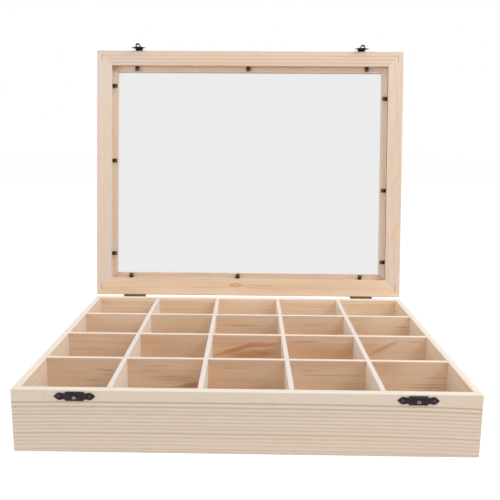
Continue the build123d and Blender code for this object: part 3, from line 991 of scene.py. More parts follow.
@dataclass
class Sheet:
    """A closed piece of sheet metal, as two matching grids of points and the cells kept.

    Attributes:
        outer: Points of the outer side, row by row, in millimetres.
        inner: Points of the inner side.
        keep: Says whether the cell at a row and column is metal.
        wear: Says how much a point of the outer side is rubbed, by row and column.
    """

    outer: Grid
    inner: Grid
    keep: Callable[[int, int], bool] = all_metal
    wear: Callable[[int, int], float] = unworn

    def write(self, mesh: bmesh.types.BMesh) -> None:
        """Adds the sheet to a mesh under construction, in millimetres.

        Args:
            mesh: The mesh that takes the sheet.
        """
        layer = mesh.verts.layers.float.get("wear") or mesh.verts.layers.float.new("wear")
        rows = len(self.outer)
        columns = len(self.outer[0])
        cells = {
            (row, column)
            for row in range(rows - 1)
            for column in range(columns - 1)
            if self.keep(row, column)
        }
        used = sorted({(r + dr, c + dc) for r, c in cells for dr in (0, 1) for dc in (0, 1)})
        top = {}
        under = {}
        for row, column in used:
            top[row, column] = mesh.verts.new(self.outer[row][column])
            top[row, column][layer] = self.wear(row, column)
            under[row, column] = mesh.verts.new(self.inner[row][column])
        for row, column in sorted(cells):
            ring = [(row, column), (row + 1, column), (row + 1, column + 1), (row, column + 1)]
            beyond = [(row, column - 1), (row + 1, column), (row, column + 1), (row - 1, column)]
            mesh.faces.new([top[spot] for spot in ring])
            mesh.faces.new([under[spot] for spot in reversed(ring)])
            for index, neighbour in enumerate(beyond):
                if neighbour not in cells:
                    here = ring[index]
                    after = ring[(index + 1) % 4]
                    mesh.faces.new([top[after], top[here], under[here], under[after]])


def bent_sheet(
    path: Path2,
    thickness: float,
    columns: Callable[[int], list[float]],
    keep: Callable[[int, int], bool] = all_metal,
    wear: Callable[[int, int], float] = unworn,
) -> Sheet:
    """A sheet bent along a path of depth and height, with its width along X.

    Args:
        path: The middle of the sheet, as pairs of Y and Z.
        thickness: Thickness of the sheet.
        columns: The X places of the columns, for a row.
        keep: Says whether a cell is metal.
        wear: Says how much a point is rubbed.

    Returns:
        The sheet, with its outer side to the left of the path.
    """
    outer: Grid = []
    inner: Grid = []
    for row, ((y, z), (ny, nz)) in enumerate(zip(path, normals_of(path))):
        places = columns(row)
        half = thickness / 2
        outer.append([Vector((x, y + ny * half, z + nz * half)) for x in places])
        inner.append([Vector((x, y - ny * half, z - nz * half)) for x in places])
    return Sheet(outer, inner, keep, wear)


@dataclass
class Turned:
    """A round piece, as a profile of radius and height about its own axis.

    Attributes:
        profile: Pairs of radius and height; a radius of 0 closes an end.
        segments: Number of sides.
        wear: How much the points above a height of 0 are rubbed.
    """

    profile: Path2
    segments: int = 24
    wear: float = 0.0

    def write(self, mesh: bmesh.types.BMesh, centre: Vector, axis: Vector) -> None:
        """Adds the piece to a mesh under construction.

        Args:
            mesh: The mesh that takes the piece.
            centre: Where height 0 of the profile lies.
            axis: Unit vector from the foot to the head.
        """
        layer = mesh.verts.layers.float.get("wear") or mesh.verts.layers.float.new("wear")
        across = axis.orthogonal().normalized()
        beside = axis.cross(across)
        rings = []
        for radius, height in self.profile:
            middle = centre + axis * height
            count = self.segments if radius > 0 else 1
            ring = []
            for index in range(count):
                angle = 2 * math.pi * index / count
                offset = across * (radius * math.cos(angle)) + beside * (radius * math.sin(angle))
                vert = mesh.verts.new(middle + offset)
                vert[layer] = self.wear if height > 0 else 0.0
                ring.append(vert)
            rings.append(ring)
        for lower, upper in zip(rings, rings[1:]):
            for index in range(self.segments):
                after = (index + 1) % self.segments
                quad = [lower[index % len(lower)], lower[after % len(lower)],
                        upper[after % len(upper)], upper[index % len(upper)]]
                corners = list(dict.fromkeys(quad))
                if len(corners) > 2:
                    mesh.faces.new(corners)


def write_mesh(name: str, writers: Sequence[Writer], turn: Matrix) -> bpy.types.Mesh:
    """Runs the writers into one mesh, in metres, shaded smoothly but for its sharp edges.

    Args:
        name: Name of the mesh.
        writers: Each adds its part in millimetres of the shut box.
        turn: Carries the points, in metres, from the shut box to where they are.

    Returns:
        The finished mesh.
    """
    work = bmesh.new()
    for write in writers:
        write(work)
    bmesh.ops.remove_doubles(work, verts=work.verts, dist=SAME_POINT)
    bmesh.ops.dissolve_degenerate(work, edges=work.edges, dist=SAME_POINT)
    bmesh.ops.recalc_face_normals(work, faces=work.faces)
    bmesh.ops.transform(work, matrix=turn @ Matrix.Scale(MM, 4), verts=work.verts)
    mesh = bpy.data.meshes.new(name)
    work.to_mesh(mesh)
    work.free()
    mesh.shade_smooth()
    mesh.set_sharp_from_angle(angle=math.radians(SHARP_ABOVE))
    return mesh


def add_piece(
    name: str,
    node: str,
    body: Body,
    finish: WornFinish | GlassFinish,
    writers: Sequence[Writer],
    bevel: float = 0.0,
    segments: int = 2,
) -> str:
    """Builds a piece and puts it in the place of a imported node.

    Args:
        name: Name of the piece.
        node: The node that it replaces.
        body: The body that it rides on.
        finish: Its finish.
        writers: Each adds a part of it, in millimetres of the shut box.
        bevel: Width of its rounded edges, or 0 for none.
        segments: Number of steps in them.

    Returns:
        The name of the piece.
    """
    piece = add_object(name, write_mesh(name, writers, body.turn()), finish)
    if bevel:
        add_bevel(piece, bevel, segments)
    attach(piece, body.value)
    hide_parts(node)
    return name


def dress(node: str, finish: Finish) -> str:
    """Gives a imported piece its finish.

    Args:
        node: The node.
        finish: Its finish.

    Returns:
        The name of the node.
    """
    materials = frame["nodes"][node].data.materials
    materials.clear()
    materials.append(material_of(finish))
    return node


def close_prism(
    mesh: bmesh.types.BMesh, face: Sequence[bmesh.types.BMVert], back: Sequence[bmesh.types.BMVert]
) -> None:
    """Closes the solid between two matching rings of points.

    Args:
        mesh: The mesh that takes it.
        face: The points of its face.
        back: The points of its back, in the same order.
    """
    mesh.faces.new(face)
    mesh.faces.new(list(reversed(back)))
    for here in range(len(face)):
        after = (here + 1) % len(face)
        mesh.faces.new((back[here], back[after], face[after], face[here]))


def write_block(mesh: bmesh.types.BMesh, low: Vector, high: Vector) -> None:
    """Writes a box between two corners.

    Args:
        mesh: The mesh that takes it.
        low: The corner with the lowest values, in millimetres.
        high: The corner with the highest values.
    """
    corners = ((low.x, low.y), (high.x, low.y), (high.x, high.y), (low.x, high.y))
    under, over = ([mesh.verts.new((x, y, z)) for x, y in corners] for z in (low.z, high.z))
    close_prism(mesh, over, under)


# ---------------------------------------------------------------- wood
SANDED_EDGE = 0.6
RIM_EDGE = LAYOUT.rim - SANDED_EDGE
ROW_LIGHT = tint(240, 213, 184)
ROW_WARM = tint(216, 152, 96)
# Painted light: a cooler, greyer band along the top of each row's face, where white light falls on it.
ROW_TOP_PAINTED_LIGHT = tint(212, 190, 172)
ROW_END = tint(252, 230, 206)
COLUMN_LIGHT = tint(238, 226, 214)
# Painted highlights on the top edges and top faces of the columns and the rows.
COLUMN_TOP_HIGHLIGHT = tint(232, 222, 217)
ROW_TOP_HIGHLIGHT = tint(248, 229, 211)
RESIN = tint(190, 122, 66)
PITCH_LINE = tint(150, 98, 60)
CATHEDRAL = tint(226, 176, 130)
# Painted light and shade in each rebate: warm bounce light at the front, shade on the right wall, light on
# the right ledge.
FRONT_REBATE_LIGHT_SHADE = RebateLightShade(tint(248, 212, 182), tint(248, 212, 182), -OPENING.front)
BACK_REBATE_LIGHT_SHADE = RebateLightShade(tint(220, 188, 163), tint(221, 190, 164), OPENING.back)
LEFT_REBATE_LIGHT_SHADE = RebateLightShade(tint(214, 187, 162), tint(243, 216, 192), OPENING.wall)
RIGHT_REBATE_LIGHT_SHADE = RebateLightShade(tint(170, 138, 112), tint(255, 229, 206), OPENING.wall)


class Assembly(Protocol):
    """What every sub-assembly offers."""

    def build(self) -> list[str]:
        """Builds and dresses its pieces, and returns their names."""


@dataclass
class Carcass:
    """The tray's four walls and its bottom board.

    Attributes:
        walls: The finish of each wall, by node.
        bottom: The finish of the bottom board.
    """

    walls: dict[str, PineFinish] = field(default_factory=lambda: {
        "front_panel": PineFinish(
            "pine_front", Grain.WALL_X, pith=(-190.0, 60.0), light=tint(225, 208, 189),
            dark=tint(168, 134, 106), ring=3.4, line=0.72, wave=0.3, flush=0.14, seed=1.3,
            plain_above=48.0, grown=0.12, bow=1.75, bow_middle=-15.0, lines=(
                (46.5, 0.95), (42.4, 0.8), (38.7, 0.5), (35.5, 0.6), (32.0, 0.42), (28.7, 0.5),
                (25.4, 0.48), (22.3, 0.45), (18.5, 0.75), (14.7, 0.45), (11.4, 0.38), (8.0, 0.36),
                (4.1, 0.4), (1.7, 0.3),
            ), top_highlight_above=RIM_EDGE,
        ),
        "back_panel": PineFinish(
            "pine_back", Grain.WALL_X, pith=(-120.0, 40.0), light=tint(254, 232, 204),
            warm=tint(244, 186, 138), line=0.4, wave=1.6, seed=7.9, flush=0.6, ring=4.2,
            lines=((50.6, 0.8),), top_highlight_above=RIM_EDGE, streaks=(
                Streak(-5.0, 30.0, 40.0, 60.0, 0.6, 0.0, tint(255, 238, 214)),
            ),
        ),
        "left_panel": PineFinish(
            "pine_left", Grain.WALL_Y, pith=(-150.0, 50.0), light=tint(238, 220, 204), line=0.28,
            wave=1.1, seed=3.4, flush=0.25, top_highlight_above=RIM_EDGE,
        ),
        "right_panel": PineFinish(
            "pine_right", Grain.WALL_Y, pith=(-90.0, 30.0), light=tint(238, 220, 200), line=0.5,
            wave=0.9, seed=5.1, flush=0.3, ring=2.6, top_highlight_above=RIM_EDGE,
        ),
    })
    bottom: PineFinish = field(default_factory=lambda: PineFinish(
        "plywood_bottom", Grain.RAIL_X, pith=(40.0, -26.0), light=tint(226, 205, 176),
        dark=tint(196, 162, 124), ring=5.5, line=0.3, wave=5.0, flush=0.35, seed=9.2,
    ))

    def build(self) -> list[str]:
        """Dresses the walls, the bottom and its brads.

        Returns:
            The names of the pieces.
        """
        finishes = {**self.walls, "bottom_panel": self.bottom, "bottom_brads": PLAIN_STEEL}
        return [dress(node, finish) for node, finish in finishes.items()]


def row_strip(
    number: int, marks: tuple[Streak, ...], top: float = 0.6, end: float = 0.6, **wood: float
) -> PineFinish:
    """A strip from left to right, with a painted band of cooler, greyer light along its top, and paler at its
    right end.

    Args:
        number: Its number, from the front.
        marks: Its own streaks.
        top: Strength of the painted band of light along the top.
        end: Strength of the pale end.
        **wood: What else sets its wood apart.

    Returns:
        The finish.
    """
    # The band along the top is painted light, cooler and greyer where white light falls.
    painted_top_light = Streak(0.0, 57.0, 500.0, 7.0, top, 0.0, ROW_TOP_PAINTED_LIGHT)
    pale_end = Streak(168.0, 30.0, 34.0, 60.0, end, 0.0, ROW_END)
    return PineFinish(
        f"pine_row_{number}", Grain.WALL_X, light=ROW_LIGHT, warm=ROW_WARM, top_highlight_above=RIM_EDGE,
        edge=ROW_TOP_HIGHLIGHT, streaks=(painted_top_light, pale_end, *marks), **wood,
    )


@dataclass
class DividerGrid:
    """The half-lapped strips that make the compartments.

    Attributes:
        columns: The finish of each strip from front to back, from left to right.
        rows: The finish of each strip from left to right, from front to back.
    """

    columns: tuple[PineFinish, ...] = tuple(
        PineFinish(
            f"pine_column_{index}", Grain.WALL_Y, light=COLUMN_LIGHT, line=0.18, flush=0.12,
            seed=9.4 + 1.7 * index, ring=ring, top_highlight_above=RIM_EDGE, edge=COLUMN_TOP_HIGHLIGHT,
        )
        for index, ring in enumerate((4.4, 5.0, 4.0, 4.6), start=1)
    )
    rows: tuple[PineFinish, ...] = (
        row_strip(
            1, line=0.3, flush=0.5, seed=21.0, ring=6.5, wave=2.6, marks=(
                Streak(-136.0, 44.6, 16.0, 0.9, 0.5, -0.12, PITCH_LINE),
                Streak(-132.0, 40.0, 10.0, 0.7, 0.45, -0.05, PITCH_LINE),
                Streak(-150.0, 34.2, 12.0, 0.8, 0.4, 0.0, RESIN),
                Streak(-86.0, 49.4, 24.0, 0.5, 0.6, 0.03, PITCH_LINE),
                Streak(-94.0, 44.5, 12.0, 0.5, 0.4, -0.05, PITCH_LINE),
                Streak(-76.0, 38.2, 30.0, 0.5, 0.6, 0.0, PITCH_LINE),
                Streak(-70.0, 35.4, 18.0, 0.5, 0.5, -0.02, PITCH_LINE),
                Streak(-50.0, 30.5, 16.0, 3.4, 0.75, 0.1, RESIN),
                Streak(-12.0, 48.0, 22.0, 0.6, 0.3, 0.0, PITCH_LINE),
                Streak(62.0, 46.4, 10.0, 0.5, 0.5, 0.0, PITCH_LINE),
                Streak(84.0, 41.6, 40.0, 0.5, 0.55, 0.0, PITCH_LINE),
                Streak(182.0, 40.6, 16.0, 0.6, 0.6, 0.0, RESIN),
                Streak(176.0, 33.6, 26.0, 0.6, 0.5, 0.02, RESIN),
                Streak(172.0, 30.6, 28.0, 0.8, 0.5, 0.0, RESIN),
            ),
        ),
        row_strip(
            2, line=0.25, flush=0.55, seed=22.4, ring=7.0, wave=3.0, end=0.5, marks=(
                Streak(-10.0, 41.0, 34.0, 3.6, 0.72, 0.32, RESIN),
                Streak(4.0, 35.0, 34.0, 6.0, 0.65, 0.1, RESIN),
                Streak(18.0, 45.5, 20.0, 3.0, 0.55, 0.1, RESIN),
                Streak(62.0, 50.0, 24.0, 1.6, 0.45, 0.02, RESIN),
                Streak(146.0, 43.0, 20.0, 3.0, 0.45, 0.5, RESIN),
                Streak(158.0, 50.0, 14.0, 0.8, 0.5, 0.3, RESIN),
                Streak(180.0, 51.0, 14.0, 1.0, 0.45, 0.0, RESIN),
            ),
        ),
        row_strip(
            3, line=0.25, flush=0.35, seed=23.9, ring=6.0, wave=2.0, top=0.5, marks=(
                Streak(-150.0, 40.0, 60.0, 60.0, 0.3, 0.0, ROW_END),
                Streak(-6.0, 44.0, 26.0, 0.7, 0.4, 0.0, PITCH_LINE),
                Streak(10.0, 40.0, 20.0, 0.6, 0.35, 0.0, PITCH_LINE),
                Streak(82.0, 46.0, 20.0, 0.7, 0.4, 0.05, RESIN),
                Streak(186.0, 44.0, 12.0, 0.8, 0.5, 0.0, PITCH_LINE),
            ),
        ),
    )

    def build(self) -> list[str]:
        """Dresses the strips.

        Returns:
            The names of the pieces.
        """
        families = {"column": self.columns, "row": self.rows}
        return [
            dress(f"{family}_divider_{number}", finish)
            for family, finishes in families.items()
            for number, finish in enumerate(finishes, start=1)
        ]


@dataclass
class LidFrame:
    """The lid's mitred frame, its pane and the V-nails in its corners.

    Attributes:
        members: The finish of each rail and stile, by node.
        glass: The finish of the pane.
        glass_gap: Gap left round the pane in its opening.
        pane_depth: Thickness of the pane.
        arris: Width of the ground edge of the pane.
        nail_inset: Distance of each V-nail's vertex from the lid's sides.
        nail_leg: Length of a V-nail's leg.
        nail_width: Width of its filled slot.
        nail_sunk: How far it lies below the lid's face.
        nail_depth: How deep it goes.
    """

    members: dict[str, PineFinish] = field(default_factory=lambda: {
        "lid_front_rail": PineFinish(
            "pine_lid_front", Grain.RAIL_X, pith=(-330.0, 90.0), light=tint(221, 200, 184),
            warm=tint(224, 190, 150), dark=tint(190, 158, 132), line=0.52, wave=0.8, ring=2.7,
            flush=0.5, seed=31.0, on_lid=True, rebatelightshade=FRONT_REBATE_LIGHT_SHADE, grown=0.6,
            lines=((-153.4, 0.55), (-149.2, 0.8), (-144.8, 0.6)), streaks=(
                Streak(0.0, -156.4, 900.0, 1.4, 0.5, 0.0, tint(238, 206, 180)),
                Streak(0.0, -151.2, 900.0, 0.9, 0.5, 0.0, tint(236, 218, 188)),
                Streak(60.0, -146.8, 500.0, 0.9, 0.4, 0.0, tint(240, 216, 190)),
            ),
        ),
        "lid_back_rail": PineFinish(
            "pine_lid_back", Grain.RAIL_X, pith=(-60.0, 60.0), light=tint(243, 216, 187),
            warm=tint(224, 176, 128), line=0.42, wave=1.6, ring=3.4, flush=0.6, seed=32.6,
            on_lid=True, rebatelightshade=BACK_REBATE_LIGHT_SHADE, knots=(Knot(-15.8, 146.4, 7.2, 2.3, 3.2),), streaks=(
                Streak(20.0, 146.4, 26.0, 0.7, 0.5, 0.01, RESIN),
                Streak(-60.0, 149.5, 40.0, 0.6, 0.3, 0.0, RESIN),
            ),
        ),
        "lid_left_stile": PineFinish(
            "pine_lid_left", Grain.STILE_Y, pith=(120.0, 90.0), light=tint(229, 211, 198),
            warm=tint(228, 196, 162), line=0.18, wave=1.0, ring=5.2, flush=0.5, seed=33.8,
            on_lid=True, rebatelightshade=LEFT_REBATE_LIGHT_SHADE, streaks=(
                Streak(0.0, -199.0, 900.0, 1.9, 0.45, 0.0, tint(220, 202, 204)),
                Streak(0.0, -194.2, 900.0, 1.3, 0.5, 0.0, tint(238, 208, 194)),
                Streak(0.0, -187.5, 900.0, 2.6, 0.4, 0.0, tint(226, 208, 186)),
            ),
        ),
        "lid_right_stile": PineFinish(
            "pine_lid_right", Grain.STILE_Y, pith=(150.0, 20.0), light=tint(225, 205, 189),
            warm=tint(228, 190, 150), line=0.24, wave=2.2, ring=6.0, runout=0.05, flush=0.5,
            seed=35.2, on_lid=True, rebatelightshade=RIGHT_REBATE_LIGHT_SHADE, streaks=tuple(
                Streak(y, x, 21.0, 3.4, strength, -0.34, CATHEDRAL) for y, x, strength in (
                    (-104.0, 184.0, 0.3), (-66.0, 191.0, 0.34), (-36.0, 188.0, 0.22), (-14.0, 186.0, 0.3),
                    (11.0, 191.0, 0.44), (42.0, 188.0, 0.25), (79.0, 190.0, 0.36), (119.0, 187.0, 0.24),
                )
            ),
        ),
    })
    glass: GlassFinish = GlassFinish()
    glass_gap: float = 0.5
    pane_depth: float = 1.95
    arris: float = 0.25
    nail_inset: float = 6.5
    nail_leg: float = 8.0
    nail_width: float = 0.58
    nail_sunk: float = 0.03
    nail_depth: float = 7.0

    def pane(self) -> str:
        """Builds the pane with ground arrises, a hair thinner than the rebate.

        Returns:
            The name of the piece.
        """
        wide = OPENING.side - self.glass_gap
        low = Vector((-wide, OPENING.front + self.glass_gap, OPENING.glass))
        high = Vector((wide, OPENING.back - self.glass_gap, OPENING.glass + self.pane_depth))
        writers = [lambda work: write_block(work, low, high)]
        return add_piece(
            "glass_pane_ground", "glass_pane", Body.LID, self.glass, writers, self.arris, segments=1
        )

    def filled_nails(self) -> str:
        """Builds the V-nails across the mitres, whose slots are stopped with filler.

        Returns:
            The name of the piece.
        """
        half = self.nail_width / 2
        top = LAYOUT.lid_face + self.nail_sunk
        writers = []
        for across, (deep, rail) in product((-1, 1), ((-1, OPENING.front_rail), (1, OPENING.back_rail))):
            x = across * (LAYOUT.half_width - self.nail_inset)
            y = deep * (LAYOUT.half_depth - self.nail_inset * rail / OPENING.stile)
            along = sorted((x + across * half, x - across * (self.nail_leg - half)))
            into = sorted((y + deep * half, y - deep * (self.nail_leg - half)))
            for xs, ys in ((along, (y - half, y + half)), ((x - half, x + half), into)):
                low = Vector((xs[0], ys[0], top))
                high = Vector((xs[1], ys[1], top + self.nail_depth))
                writers.append(lambda work, low=low, high=high: write_block(work, low, high))
        return add_piece("corner_v_nails_filled", "corner_v_nails", Body.LID, WOOD_FILLER, writers)

    def build(self) -> list[str]:
        """Dresses the frame, and builds the pane and the V-nails.

        Returns:
            The names of the pieces.
        """
        members = [dress(node, finish) for node, finish in self.members.items()]
        return [*members, self.pane(), self.filled_nails()]


# ---------------------------------------------------------------- metalwork
@dataclass
class FleurPlate:
    """Outline and relief of a pressed plate with a block, two lobes and pointed tips.

    Attributes:
        length: Length over the tips.
        block: Length of the block in the middle.
        height: Height of the block.
        waist: Height of the waist between block and lobe.
        lobe: Height of a lobe.
        corner: Radius of the block's corners.
        step: Run of the step from block to waist.
        nail: Distance of each nail from the middle.
        thickness: Thickness of the plate.
        dish: How far the field lies below the raised border.
        land: How far from a nail the field rises again.
        crest: Share of the half height within which it does.
        point: Half height of a tip.
    """

    length: float = 35.2
    block: float = 16.3
    height: float = 8.1
    waist: float = 5.2
    lobe: float = 6.6
    corner: float = 0.9
    step: float = 0.6
    nail: float = 13.2
    thickness: float = 0.8
    dish: float = 0.22
    land: float = 1.9
    crest: float = 0.7
    point: float = 0.04

    def half_height(self, x: float) -> float:
        """The outline above the middle line.

        Args:
            x: Distance from the middle, to either side.

        Returns:
            Half of the plate's height there.
        """
        x = abs(x)
        block = self.block / 2
        tip = self.length / 2
        crest = self.nail
        shoulder = block + self.step
        if x <= block - self.corner:
            return self.height / 2
        if x <= block:
            inside = x - (block - self.corner)
            return self.height / 2 - self.corner + math.sqrt(max(self.corner**2 - inside**2, 0.0))
        if x <= shoulder:
            share = (x - block) / self.step
            start = self.height / 2 - self.corner
            return start + (self.waist / 2 - start) * share
        if x <= crest:
            share = (x - shoulder) / (crest - shoulder)
            return self.waist / 2 + (self.lobe - self.waist) / 2 * math.sin(share * math.pi / 2) ** 2
        share = (x - crest) / (tip - crest)
        return max(self.lobe / 2 * (1 - share**1.7) ** 1.15, self.point)

    def stations(self) -> list[float]:
        """The columns of the plate, closer together where the outline turns.

        Returns:
            Their X places, from the middle.
        """
        block = self.block / 2
        half = (
            spread(0.0, block - self.corner, 7)
            + spread(block - self.corner, block, 4)[1:]
            + spread(block, block + self.step, 2)[1:]
            + spread(block + self.step, self.nail, 8)[1:]
            + spread(self.nail, self.length / 2, 12)[1:]
        )
        return [-x for x in reversed(half[1:])] + half

    def sheet(self, centre: Vector) -> Sheet:
        """The plate, upright, facing the front.

        Args:
            centre: Middle of the plate's back face.

        Returns:
            The sheet, in millimetres.
        """
        shares = [0.0, 0.1, 0.2, 0.3, 0.42, 0.5, 0.58, 0.7, 0.8, 0.9, 1.0]
        border = [0.55, 0.95, 1.0, 0.0, 0.0, 0.0, 0.0, 0.0, 1.0, 0.95, 0.55]
        outer: Grid = []
        inner: Grid = []
        for share, raised in zip(shares, border):
            front_row = []
            back_row = []
            for x in self.stations():
                half = self.half_height(x)
                z = centre.z + half * (2 * share - 1)
                near_nail = math.exp(-((abs(x) - self.nail) / self.land) ** 2)
                lift = max(raised, near_nail * 0.9 if abs(2 * share - 1) < self.crest else raised)
                proud = self.thickness - self.dish * (1 - lift)
                front_row.append(Vector((centre.x + x, centre.y - proud, z)))
                back_row.append(Vector((centre.x + x, centre.y, z)))
            outer.append(front_row)
            inner.append(back_row)
        return Sheet(outer, inner, wear=lambda row, column: border[row])


KNUCKLE = 1.4
BORE = 0.65
PIN = 0.6
PIN_DOME = ((PIN, 0.0), (0.4, 0.2), (0.0, 0.25))


def rolled_knuckle(
    centre: tuple[float, float], reach: tuple[float, float], x_range: tuple[float, float]
) -> Sheet:
    """A knuckle rolled from the end of a leaf, open along a narrow seam.

    Args:
        centre: Depth and height of the pin.
        reach: Angles in degrees where the roll starts and ends.
        x_range: Where the knuckle starts and ends along the pin.

    Returns:
        The sheet, in millimetres.
    """
    path = arc(centre, (KNUCKLE + BORE) / 2, *reach, 28)
    places = spread(*x_range, 2)
    return bent_sheet(path, KNUCKLE - BORE, lambda row: places)


def peened_pin(centre: Vector, half: float) -> Writer:
    """A pin along X with a low dome at each end.

    Args:
        centre: Middle of the pin.
        half: Half of its length between the domes.

    Returns:
        What writes it into a mesh.
    """
    dome = [(radius, half + height) for radius, height in PIN_DOME]
    rod = Turned([(radius, -height) for radius, height in reversed(dome)] + dome)
    return lambda mesh: rod.write(mesh, centre, Vector((1, 0, 0)))


@dataclass
class Hinge:
    """One butt hinge with rolled knuckles, a pin, a stop and two screws on each leaf.

    Attributes:
        side: The side of the box that it is on.
        finish: The finish of its leaves and pin.
        length: Length of the hinge.
        middle: Length of the middle knuckle.
        leaf: Height of a leaf from the hinge line.
        thickness: Thickness of a leaf.
        border: Width of the outermost strip of a leaf.
        flank: Width of the strip beside the middle knuckle.
        shoulder: Height of the strip above the knuckles.
        root: Distance from the hinge line at which a leaf meets its knuckle.
        gap: Running gap between knuckles.
        screw_apart: Distance between the two screws of a leaf.
        screw_drop: Distance of the screws from the hinge line.
        screw_head: Radius of a screw's head.
        crown: Height of the head's two halves over the leaf.
        crown_inset: How far they lie inside the head's rim.
        slot: Half width of the slot between them.
        lug: Width of the stop lug.
        lug_radius: Middle radius of the stop lug.
        lug_thickness: Thickness of the stop lug.
        lug_reach: Angles in degrees where the lug starts and where it meets the open leaf.
    """

    side: Side
    finish: WornFinish = AGED_BRASS
    length: float = 28.6
    middle: float = 9.6
    leaf: float = 12.0
    thickness: float = 0.8
    border: float = 0.9
    flank: float = 1.2
    shoulder: float = 1.0
    root: float = 0.35
    gap: float = 0.3
    screw_apart: float = 17.0
    screw_drop: float = 7.4
    screw_head: float = 1.7
    crown: float = 0.3
    crown_inset: float = 0.12
    slot: float = 0.22
    lug: float = 8.0
    lug_radius: float = 2.3
    lug_thickness: float = 1.2
    lug_reach: tuple[float, float] = (-146.0, 11.0)

    @property
    def centre(self) -> Vector:
        """Middle of the hinge line."""
        return Vector((self.side.value * LAYOUT.hinge_x, LAYOUT.hinge_y, LAYOUT.hinge_z))

    def leaf_sheet(self, direction: int) -> Sheet:
        """A flat leaf with notches for the other leaf's knuckles.

        Args:
            direction: Which side of the hinge line it lies on, below (-1) or above (1).

        Returns:
            The sheet, in millimetres.
        """
        half = self.length / 2
        clear = KNUCKLE + self.gap
        cut = self.middle / 2 + (self.gap if direction < 0 else 0.0)
        beside = [-half, self.border - half, -cut - self.flank, -cut]
        places = beside + [-x for x in reversed(beside)]
        heights = [self.leaf, self.leaf - self.border, clear + self.shoulder, clear, self.root]
        knuckle_row = len(heights) - 2
        knuckle_column = len(beside) - 1

        def row(y: float, height: float) -> list[Vector]:
            """The points of the leaf at a depth and a distance from the hinge line."""
            return [Vector((self.centre.x + x, y, self.centre.z + direction * height)) for x in places]

        def keep(row: int, column: int) -> bool:
            """Whether a cell is metal, with the notches left out."""
            return row < knuckle_row or (column == knuckle_column) == (direction > 0)

        def wear(row: int, column: int) -> float:
            """The outer edges are rubbed."""
            return 1.0 if row == 0 or column in (0, len(places) - 1) else 0.0

        face = LAYOUT.half_depth
        outer = [row(face + self.thickness, height) for height in heights]
        return Sheet(outer, [row(face, height) for height in heights], keep, wear)

    def knuckles(self, direction: int) -> list[Sheet]:
        """The rolled knuckles of a leaf.

        Args:
            direction: The lower leaf (-1) has one at each end, the upper one (1) one in the middle.

        Returns:
            The sheets, in millimetres.
        """
        inner_end = self.middle / 2 + self.gap
        half = self.length / 2
        ranges = [(-half, -inner_end), (inner_end, half)]
        reach = (205.0, -145.0)
        if direction > 0:
            ranges = [(-self.middle / 2, self.middle / 2)]
            reach = (155.0, 505.0)
        x = self.centre.x
        return [rolled_knuckle(self.centre.yz, reach, (x + start, x + end)) for start, end in ranges]

    def stop_lug(self) -> Sheet:
        """The lug under the knuckle that stops the lid just past upright.

        Returns:
            The sheet, in millimetres.
        """
        path = arc(self.centre.yz, self.lug_radius, *self.lug_reach, 22)
        places = spread(self.centre.x - self.lug / 2, self.centre.x + self.lug / 2, 2)
        return bent_sheet(path, self.lug_thickness, lambda row: places)

    def screw(self, mesh: bmesh.types.BMesh, centre: Vector) -> None:
        """Writes a countersunk screw with a slotted head.

        Args:
            mesh: The mesh that takes it.
            centre: Where its axis leaves the leaf.
        """
        shank = [(0.0, -5.2), (0.4, -4.6), (0.75, -3.8), (0.75, -0.95)]
        head = [(1.65, -0.05), (self.screw_head, 0.0), (self.screw_head, 0.08), (0.0, 0.08)]
        Turned(shank + head, wear=0.4).write(mesh, centre, Vector((0, 1, 0)))
        radius = self.screw_head - self.crown_inset
        start = math.degrees(math.asin(self.slot / radius))
        for turn in (0.0, 180.0):
            rim = arc((0.0, 0.0), radius, start + turn, 180.0 - start + turn, 10)
            low = [mesh.verts.new(centre + Vector((x, 0.06, z))) for x, z in rim]
            high = [mesh.verts.new(centre + Vector((x, self.crown, z))) for x, z in rim]
            close_prism(mesh, high, low)

    def screws(self, mesh: bmesh.types.BMesh, direction: int) -> None:
        """Writes the two screws of a leaf.

        Args:
            mesh: The mesh that takes them.
            direction: Which leaf, as for leaf_sheet.
        """
        for way in (-1, 1):
            offset = Vector((way * self.screw_apart / 2, 0.0, direction * self.screw_drop))
            centre = self.centre + offset
            centre.y = LAYOUT.half_depth + self.thickness
            self.screw(mesh, centre)

    def build(self) -> list[str]:
        """Builds both leaves and the pin.

        Returns:
            The names of the pieces.
        """
        name = f"{self.side.label}_hinge"
        leaves = (
            ("box", Body.BOX, [self.leaf_sheet(-1), *self.knuckles(-1), self.stop_lug()]),
            ("lid", Body.LID, [self.leaf_sheet(1), *self.knuckles(1)]),
        )
        made = []
        for part, body, sheets in leaves:
            node = f"{name}_{part}_leaf"
            writers = [sheet.write for sheet in sheets]
            made.append(add_piece(f"{node}_rolled", node, body, self.finish, writers, bevel=0.12))
        pin = [peened_pin(self.centre, self.length / 2)]
        made.append(add_piece(f"{name}_pin_peened", f"{name}_pin", Body.BOX, self.finish, pin))
        return made


